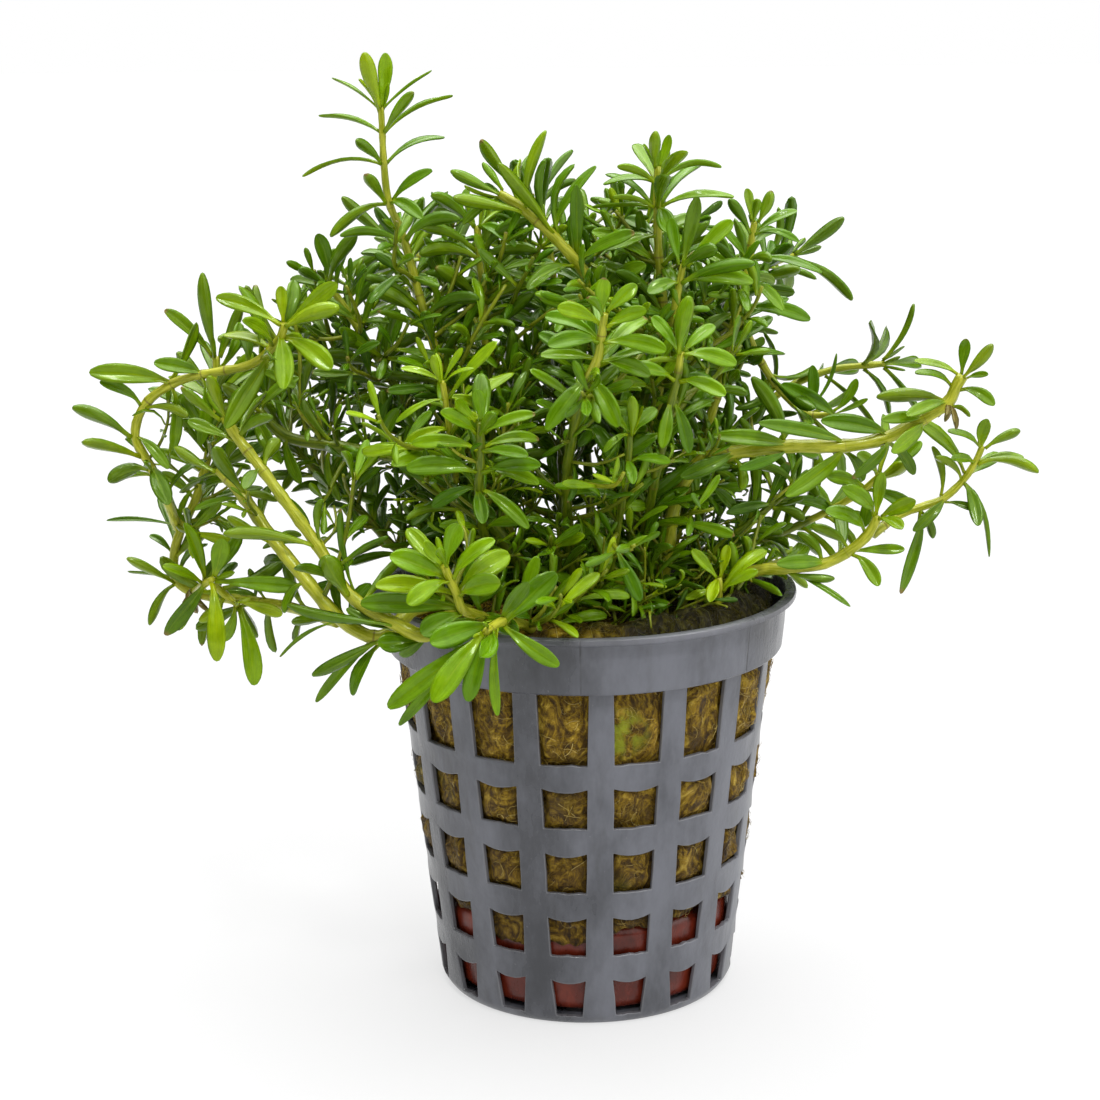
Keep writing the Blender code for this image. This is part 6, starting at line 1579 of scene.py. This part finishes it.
def top_fibre(dice):
    """Where a curled fibre lies on the plug's top."""
    angle, out = dice.uniform(0, FULL_TURN), 24.0 * math.sqrt(dice.random())
    x, y = out * math.cos(angle), out * math.sin(angle)
    lean, length, bend = dice.uniform(0, FULL_TURN), dice.uniform(1.5, 4.5), dice.gauss(0, 0.7)
    places = []
    for aside, on in curled_steps(lean, length, bend):
        px, py = x + aside, y + on
        scale = min(1.0, FIBRE_REACH / max(math.hypot(px, py), 0.01))
        px, py = px * scale, py * scale
        places.append(Vector((px, py, wool_top(px, py) + 0.06 + 0.22 * dice.random())))
    return places


def draw_fibre(drawing, places, dice):
    """One fibre as a three-sided thread through its places."""
    thin = 0.016 + 0.03 * dice.random() ** 3
    sort = (dice.random(), dice.random(), dice.random())
    rings, last = [], len(places) - 1
    for k, place in enumerate(places):
        way = (places[min(k + 1, last)] - places[max(k - 1, 0)]).normalized()
        sideways = way.orthogonal().normalized()
        ways = [Matrix.Rotation(2 * math.pi * i / 3, 3, way) @ sideways for i in range(3)]
        rings.append([drawing.point(place + out * thin, (1.0, 0.0, 0.0), sort) for out in ways])
    drawing.skin(rings)


def draw_fibres(looks):
    """Loose fibres over the plug, part of them across its top."""
    drawing = Drawing()
    dice = random.Random(SEED + 2)
    for _ in range(FIBRES):
        places = side_fibre(dice) if dice.random() < SIDE_FIBRES else top_fibre(dice)
        if places:
            draw_fibre(drawing, places, dice)
    drawing.piece("wool_fibres", ["rockwool"], looks)


# Materials. A ramp's rows are a value and its colour.

WHITE = (1.0, 1.0, 1.0, 1.0)
# A leaf from just opened to old, on its upper side and on its pale back
LEAF_TOP = (
    (0.0, (0.27, 0.43, 0.003)), (0.25, (0.138, 0.29, 0.002)), (0.6, (0.076, 0.178, 0.001)),
    (1.0, (0.044, 0.11, 0.001)),
)
LEAF_BACK = ((0.0, (0.22, 0.35, 0.006)), (0.5, (0.11, 0.21, 0.005)), (1.0, (0.055, 0.12, 0.005)))
LEAF_TINTS = ((0.0, (0.72, 0.84, 1.0)), (0.5, (1.0, 1.0, 1.0)), (1.0, (1.25, 1.12, 0.9)))
CLAY_COLOURS = ((0.3, (0.045, 0.006, 0.002)), (0.5, (0.13, 0.016, 0.006)), (0.72, (0.27, 0.044, 0.018)))
# The wool's own browns, with painted shade between its clumps at the dark end and painted golden highlights
# at the light end
WOOL_COLOURS_AND_SHADE = (
    (0.33, (0.02, 0.009, 0.001)), (0.46, (0.12, 0.064, 0.003)), (0.56, (0.37, 0.23, 0.012)),
    (0.68, (0.72, 0.52, 0.09)),
)
FIBRE_COLOURS = ((0.0, (0.1, 0.055, 0.003)), (0.75, (0.32, 0.2, 0.02)), (1.0, (0.75, 0.6, 0.2)))
SEAMS = (-2.4, -1.3, -0.62, -0.035, 0.88, 1.9, 2.8)  # radians round the collar from the front


def feed(tree, node, key, value):
    """Sets a socket to a value, or links it to the socket that feeds it."""
    if isinstance(value, bpy.types.NodeSocket):
        tree.links.new(value, node.inputs[key])
    else:
        node.inputs[key].default_value = value


def add_node(tree, kind, inputs=(), **settings):
    """Adds a node. inputs pairs sockets with values or with the sockets that feed them."""
    node = tree.nodes.new(kind)
    for key, value in settings.items():
        setattr(node, key, value)
    for key, value in dict(inputs).items():
        feed(tree, node, key, value)
    return node


def opaque(colour):
    return colour if isinstance(colour, bpy.types.NodeSocket) else (*colour, 1.0)


def mixed(tree, factor, first, second, kind="MIX"):
    """Two colours mixed. A colour is a socket or three numbers."""
    inputs = {0: factor, 6: opaque(first), 7: opaque(second)}
    return add_node(tree, "ShaderNodeMix", inputs, data_type="RGBA", blend_type=kind).outputs[2]


def tinted(tree, colour, tint, factor=1.0):
    return mixed(tree, factor, colour, tint, "MULTIPLY")


def sum_of(tree, kind, first, second=0.5, third=0.5):
    return add_node(tree, "ShaderNodeMath", {0: first, 1: second, 2: third}, operation=kind).outputs[0]


def times(tree, first, second):
    return sum_of(tree, "MULTIPLY", first, second)


def between(tree, value, low, high, to_low=0.0, to_high=1.0):
    inputs = {"Value": value, "From Min": low, "From Max": high, "To Min": to_low, "To Max": to_high}
    return add_node(tree, "ShaderNodeMapRange", inputs, interpolation_type="SMOOTHSTEP").outputs[0]


def noise_of(tree, place, scale, detail=3.0, rough=0.55):
    inputs = {"Vector": place, "Scale": scale, "Detail": detail, "Roughness": rough}
    return add_node(tree, "ShaderNodeTexNoise", inputs).outputs["Fac"]


def stretched(tree, place, scale):
    return add_node(tree, "ShaderNodeMapping", {"Vector": place, "Scale": scale}).outputs[0]


def ramp_of(tree, value, *stops):
    node = add_node(tree, "ShaderNodeValToRGB", {0: value})
    elements = node.color_ramp.elements
    while len(elements) < len(stops):
        elements.new(0.5)
    for element, (place, colour) in zip(elements, stops):
        element.position, element.color = place, (*colour, 1.0)
    return node.outputs[0]


def axes_of(tree, vector):
    return add_node(tree, "ShaderNodeSeparateXYZ", {0: vector}).outputs


def split(tree, name):
    """The three values that the points of a piece carry under a name."""
    attribute = add_node(tree, "ShaderNodeAttribute", attribute_name=name)
    node = add_node(tree, "ShaderNodeSeparateColor", {0: attribute.outputs["Color"]})
    return node.outputs[0], node.outputs[1], node.outputs[2]


def bumped(tree, shader, height, distance, strength):
    inputs = {"Height": height, "Distance": distance, "Strength": strength}
    tree.links.new(add_node(tree, "ShaderNodeBump", inputs).outputs[0], shader.inputs["Normal"])


def painted(tree, shader, colour, roughness):
    tree.links.new(colour, shader.inputs["Base Color"])
    tree.links.new(roughness, shader.inputs["Roughness"])


def look(name, **values):
    """A new material with its shader's values, named as the shader's sockets are."""
    made = bpy.data.materials.new(name)
    made.use_nodes = True
    tree = made.node_tree
    shader = tree.nodes["Principled BSDF"]
    for key, value in values.items():
        shader.inputs[key.replace("_", " ").title().replace("Ior", "IOR")].default_value = value
    place = add_node(tree, "ShaderNodeTexCoord").outputs["Object"]
    return made, tree, shader, place


def streaks_along(tree, across, share, chance, fine):
    """Noise drawn out along a blade or a stem."""
    spot = {0: times(tree, across, fine), 1: times(tree, share, 2.0), 2: times(tree, chance, 40.0)}
    spot = add_node(tree, "ShaderNodeCombineXYZ", spot).outputs[0]
    return noise_of(tree, spot, 1.0, 3.0, 0.6)


def leaf_colour(tree, place, share, across, under, chance, age):
    """The green of a leaf, by its age and by where on the leaf and on the plant it is."""
    top = ramp_of(tree, age, *LEAF_TOP)
    back = ramp_of(tree, age, *LEAF_BACK)
    colour = mixed(tree, under, top, back)
    colour = mixed(tree, between(tree, share, 0.3, 0.02, 0.0, 0.6), colour, (0.29, 0.4, 0.006))
    aside = sum_of(tree, "ABSOLUTE", sum_of(tree, "MULTIPLY_ADD", across, 2.0, -1.0))
    rib = times(tree, between(tree, aside, 0.12, 0.02), between(tree, share, 1.0, 0.1, 0.05, 0.5))
    colour = mixed(tree, rib, colour, (0.24, 0.37, 0.01))
    streaks = streaks_along(tree, across, share, chance, 9.0)
    mottle = noise_of(tree, place, 380.0, 4.0, 0.6)
    colour = tinted(tree, colour, ramp_of(tree, streaks, (0.3, (0.9, 0.92, 0.85)), (0.7, (1.1, 1.08, 1.1))))
    colour = tinted(tree, colour, ramp_of(tree, mottle, (0.3, (0.75, 0.78, 0.7)), (0.7, (1.25, 1.2, 1.15))))
    colour = tinted(tree, colour, ramp_of(tree, chance, *LEAF_TINTS))
    off_middle = sum_of(tree, "ABSOLUTE", axes_of(tree, place)[0])
    return tinted(tree, colour, (1.13, 0.98, 1.0), between(tree, off_middle, 0.024, 0.042)), streaks


def leaf_look():
    made, tree, shader, place = look(
        "leaf_blade", coat_weight=0.22, coat_roughness=0.08, specular_ior_level=0.34,
        specular_tint=(0.7, 1.0, 0.25, 1.0), subsurface_weight=0.04, subsurface_scale=0.0008,
        subsurface_radius=(0.4, 1.0, 0.1),
    )
    share, across, under = split(tree, "blade")
    chance, age, dry = split(tree, "sort")
    colour, streaks = leaf_colour(tree, place, share, across, under, chance, age)
    worn = times(tree, between(tree, dry, 0.93, 0.96), between(tree, share, 0.92, 0.99))
    worn = sum_of(tree, "MAXIMUM", worn, between(tree, dry, 0.997, 0.999, 0.0, 0.9))
    colour = mixed(tree, worn, colour, mixed(tree, streaks, (0.1, 0.06, 0.015), (0.3, 0.2, 0.06)))
    painted(tree, shader, colour, between(tree, streaks, 0.4, 0.6, 0.17, 0.42))
    grain = sum_of(tree, "MULTIPLY_ADD", noise_of(tree, place, 1300.0, 2.0), 0.35, streaks)
    bumped(tree, shader, grain, 0.00005, 0.7)
    return made


def stem_look():
    made, tree, shader, place = look(
        "stem_skin", coat_weight=0.25, coat_roughness=0.15, specular_ior_level=0.35,
        specular_tint=(0.9, 1.0, 0.4, 1.0), subsurface_weight=0.08, subsurface_scale=0.0008,
        subsurface_radius=(0.8, 0.8, 0.2),
    )
    ring, run, turn = split(tree, "blade")
    chance, age, _ = split(tree, "sort")
    streaks = streaks_along(tree, turn, times(tree, run, 20.0), chance, 12.0)
    streaked = between(tree, streaks, 0.35, 0.65)
    pale = mixed(tree, streaked, (0.34, 0.37, 0.01), (0.58, 0.58, 0.05))
    green = mixed(tree, streaked, (0.075, 0.125, 0.003), (0.17, 0.22, 0.007))
    # Age 1 gives the dark green; stems low in the dense middle get it as painted shade.
    colour = mixed(tree, age, pale, green)
    patches = between(tree, noise_of(tree, place, 150.0), 0.5, 0.75, 0.0, 0.35)
    colour = mixed(tree, patches, colour, (0.14, 0.21, 0.008))
    colour = mixed(tree, between(tree, ring, 0.72, 0.97, 0.0, 0.75), colour, (0.16, 0.12, 0.02))
    painted(tree, shader, colour, between(tree, streaks, 0.3, 0.7, 0.24, 0.4))
    bumped(tree, shader, sum_of(tree, "MULTIPLY_ADD", ring, -0.5, streaks), 0.0001, 0.7)
    return made


def seams_of(tree, place, axes):
    """Dark upright lines at a few angles of the collar, each a little uneven."""
    turn = sum_of(tree, "ARCTAN2", axes[0], times(tree, axes[1], -1.0))
    wander = sum_of(tree, "MULTIPLY_ADD", noise_of(tree, place, 130.0), 0.012, -0.006)
    turn = sum_of(tree, "ADD", turn, wander)
    seam = 0.0
    for angle in SEAMS:
        off = sum_of(tree, "ABSOLUTE", sum_of(tree, "SUBTRACT", turn, angle))
        seam = sum_of(tree, "MAXIMUM", between(tree, off, 0.006, 0.002), seam)
    seam = times(tree, seam, between(tree, axes[2], 0.0456, 0.0462))
    return times(tree, seam, between(tree, noise_of(tree, place, 300.0), 0.35, 0.6, 0.15, 0.8))


def plastic_look():
    made, tree, shader, place = look("pot_plastic", specular_ior_level=0.6)
    edge, _, _ = split(tree, "blade")
    axes = axes_of(tree, place)
    cloud = noise_of(tree, stretched(tree, place, (1.0, 1.0, 0.45)), 48.0, 6.0, 0.68)
    colour = mixed(tree, between(tree, cloud, 0.36, 0.66), (0.036, 0.038, 0.045), (0.142, 0.148, 0.172))
    specks = noise_of(tree, place, 2600.0, 2.0)
    colour = mixed(tree, between(tree, specks, 0.72, 0.8, 0.0, 0.4), colour, (0.3, 0.3, 0.31))
    dirt = noise_of(tree, stretched(tree, place, (1.0, 1.0, 0.2)), 210.0, 5.0, 0.65)
    colour = mixed(tree, between(tree, dirt, 0.55, 0.8, 0.0, 0.55), colour, (0.035, 0.034, 0.03))
    # The window rims are painted lighter: a painted highlight along the edges.
    colour = mixed(tree, between(tree, edge, 0.75, 1.0, 0.0, 0.5), colour, (0.19, 0.19, 0.2))
    seam = seams_of(tree, place, axes)
    colour = mixed(tree, seam, colour, (0.025, 0.025, 0.026))
    # The lip's top edge is painted lighter: a painted highlight.
    lip = between(tree, axes[2], 0.0521, 0.053, 0.0, 0.4)
    colour = mixed(tree, lip, colour, (0.2, 0.2, 0.215))
    painted(tree, shader, colour, between(tree, cloud, 0.3, 0.7, 0.22, 0.4))
    drawn = noise_of(tree, stretched(tree, place, (1.0, 1.0, 0.06)), 900.0, 3.0)
    fine = times(tree, noise_of(tree, place, 1600.0, 3.0), 0.5)
    coarse = times(tree, noise_of(tree, place, 150.0, 2.0), 2.4)
    grain = sum_of(tree, "ADD", sum_of(tree, "MULTIPLY_ADD", drawn, 0.5, fine), coarse)
    bumped(tree, shader, sum_of(tree, "MULTIPLY_ADD", seam, -1.2, grain), 0.00013, 0.7)
    return made


def clay_look():
    made, tree, shader, place = look(
        "fired_clay", coat_weight=0.15, coat_roughness=0.15, specular_ior_level=0.3,
    )
    cloud = noise_of(tree, stretched(tree, place, (1.0, 1.0, 0.5)), 240.0, 5.0, 0.6)
    painted(tree, shader, ramp_of(tree, cloud, *CLAY_COLOURS), between(tree, cloud, 0.3, 0.7, 0.2, 0.4))
    bumped(tree, shader, noise_of(tree, stretched(tree, place, (1.0, 1.0, 0.3)), 500.0, 4.0), 0.0003, 0.7)
    return made


def near_spot(tree, place, spot, reach):
    """1 at a spot, falling to 0 at its reach."""
    offset = add_node(tree, "ShaderNodeVectorMath", {0: place, 1: spot}, operation="SUBTRACT").outputs[0]
    length = add_node(tree, "ShaderNodeVectorMath", {0: offset}, operation="LENGTH").outputs["Value"]
    return between(tree, length, reach, reach * 0.4)


def wool_colour(tree, place, colour):
    """Wool with algae in patches, darker and greener on the plug's wet top."""
    axes = axes_of(tree, place)
    patches = noise_of(tree, place, 85.0, 3.0)
    colour = mixed(tree, between(tree, patches, 0.58, 0.74, 0.0, 0.6), colour, (0.13, 0.15, 0.012))
    patchy = between(tree, noise_of(tree, place, 500.0), 0.35, 0.6)
    algae = times(tree, near_spot(tree, place, (0.0040, -0.0232, 0.0398), 0.0042), patchy)
    colour = mixed(tree, algae, colour, (0.33, 0.36, 0.02))
    top = between(tree, axes[2], 0.0493, 0.0506)
    right = between(tree, sum_of(tree, "MULTIPLY_ADD", patches, 0.02, axes[0]), 0.004, 0.018)
    wet = mixed(tree, right, (1.15, 1.2, 0.8), (0.15, 0.2, 0.12))
    # The plug's side is darker towards the bottom.
    darker_towards_foot = mixed(tree, between(tree, axes[2], 0.012, 0.042), (0.62, 0.58, 0.52), (1.12, 1.12, 1.1))
    return mixed(tree, top, tinted(tree, colour, darker_towards_foot), tinted(tree, colour, wet))


def core_look():
    made, tree, shader, place = look("wool_core", roughness=0.5, specular_ior_level=0.3)
    inputs = {"Vector": stretched(tree, place, (1.0, 1.0, 0.7)), "Scale": 420.0, "Detail": 8.0}
    inputs.update({"Roughness": 0.72, "Distortion": 2.6})
    swirl = add_node(tree, "ShaderNodeTexNoise", inputs).outputs["Fac"]
    colour = ramp_of(tree, swirl, *WOOL_COLOURS_AND_SHADE)
    # deep darkens the wool in large blotches, partly its own darker brown and partly painted shade.
    deep = between(tree, noise_of(tree, place, 130.0, 4.0), 0.52, 0.68, 0.0, 0.6)
    colour = wool_colour(tree, place, mixed(tree, deep, colour, (0.06, 0.036, 0.004)))
    painted(tree, shader, colour, between(tree, axes_of(tree, place)[2], 0.049, 0.051, 0.5, 0.2))
    bumped(tree, shader, swirl, 0.0009, 1.0)
    return made


def fibre_look():
    made, tree, shader, place = look("wool_fibre", roughness=0.4, specular_ior_level=0.35)
    chance, _, _ = split(tree, "sort")
    colour = wool_colour(tree, place, ramp_of(tree, chance, *FIBRE_COLOURS))
    tree.links.new(colour, shader.inputs["Base Color"])
    return made


# The studio

CAMERA_PITCH = 0.230
CAMERA_ROLL = math.radians(-0.52)
FOCAL_SHARE = 2364.8 / 1100  # the lens's length against the picture's width


def add_camera():
    data = bpy.data.cameras.new("camera")
    data.sensor_width = 36.0
    data.lens = 36.0 * FOCAL_SHARE
    data.clip_start, data.clip_end = 0.01, 20.0
    camera = bpy.data.objects.new("camera", data)
    forward = Vector((0.0, math.cos(CAMERA_PITCH), -math.sin(CAMERA_PITCH)))
    upward = Vector((0.0, math.sin(CAMERA_PITCH), math.cos(CAMERA_PITCH)))
    right = Vector((1.0, 0.0, 0.0))
    c, s = math.cos(CAMERA_ROLL), math.sin(CAMERA_ROLL)
    turned = Matrix((right * c + upward * s, upward * c - right * s, -forward)).transposed().to_4x4()
    camera.matrix_world = Matrix.Translation(EYE * MM) @ turned
    bpy.context.scene.camera = linked(camera)


def add_sun(name, place, strength, spread):
    """A wide soft light from a direction, the same over the whole floor."""
    data = bpy.data.lights.new(name, "SUN")
    data.energy, data.angle = strength, math.radians(spread)
    light = linked(bpy.data.objects.new(name, data))
    light.rotation_euler = Vector(place).to_track_quat("Z", "Y").to_euler()


def add_floor():
    """A white floor that is lit a little by itself."""
    floor_look, _, shader, _ = look("white_floor", roughness=0.9, specular_ior_level=0.0)
    shader.inputs["Base Color"].default_value = (0.25, 0.25, 0.25, 1.0)
    shader.inputs["Emission Color"].default_value = WHITE
    shader.inputs["Emission Strength"].default_value = 0.64
    mesh = bpy.data.meshes.new("floor")
    corners = ((-4.0, -4.0, 0.0), (4.0, -4.0, 0.0), (4.0, 4.0, 0.0), (-4.0, 4.0, 0.0))
    mesh.from_pydata(corners, [], [(0, 1, 2, 3)])
    mesh.materials.append(floor_look)
    linked(bpy.data.objects.new("floor", mesh))


def add_world():
    """Plain white behind everything. Shiny surfaces mirror bright panels above and at the right."""
    world = bpy.data.worlds.new("studio")
    world.use_nodes = True
    tree = world.node_tree
    path = add_node(tree, "ShaderNodeLightPath").outputs
    way = axes_of(tree, add_node(tree, "ShaderNodeTexCoord").outputs["Generated"])
    above = between(tree, way[2], 0.5, 0.8, -0.12, 1.3)
    panels = sum_of(tree, "ADD", above, between(tree, way[0], 0.7, 0.9, 0.0, 1.5))
    around = sum_of(tree, "MULTIPLY_ADD", panels, path["Is Glossy Ray"], 0.14)
    shader = tree.nodes["Background"]
    shader.inputs[0].default_value = WHITE
    tree.links.new(sum_of(tree, "MAXIMUM", around, path["Is Camera Ray"]), shader.inputs[1])
    bpy.context.scene.world = world


def add_studio():
    add_floor()
    add_world()
    add_sun("top_light", (-0.04, 0.28, 1.0), 3.5, 60.0)
    add_sun("right_light", (0.8, -0.6, 0.95), 1.5, 75.0)
    add_sun("left_light", (-0.8, -0.5, 0.8), 0.3, 75.0)
    add_sun("front_light", (0.1, -0.6, 0.9), 0.9, 9.0)
    bpy.context.scene.view_settings.view_transform = "Standard"


def main():
    add_camera()
    add_studio()
    draw_pot(plastic_look())
    draw_ring(clay_look())
    core, strand = core_look(), fibre_look()
    draw_wool([core])
    draw_fibres([strand])
    draw_shoots(grow_plant(), [leaf_look(), stem_look()])


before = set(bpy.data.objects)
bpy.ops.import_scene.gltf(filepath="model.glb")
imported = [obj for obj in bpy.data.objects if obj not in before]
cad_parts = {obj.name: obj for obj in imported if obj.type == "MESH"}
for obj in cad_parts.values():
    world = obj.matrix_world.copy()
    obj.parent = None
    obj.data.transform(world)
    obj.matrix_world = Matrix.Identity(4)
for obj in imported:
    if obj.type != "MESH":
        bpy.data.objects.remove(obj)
CAD_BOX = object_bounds()
main()
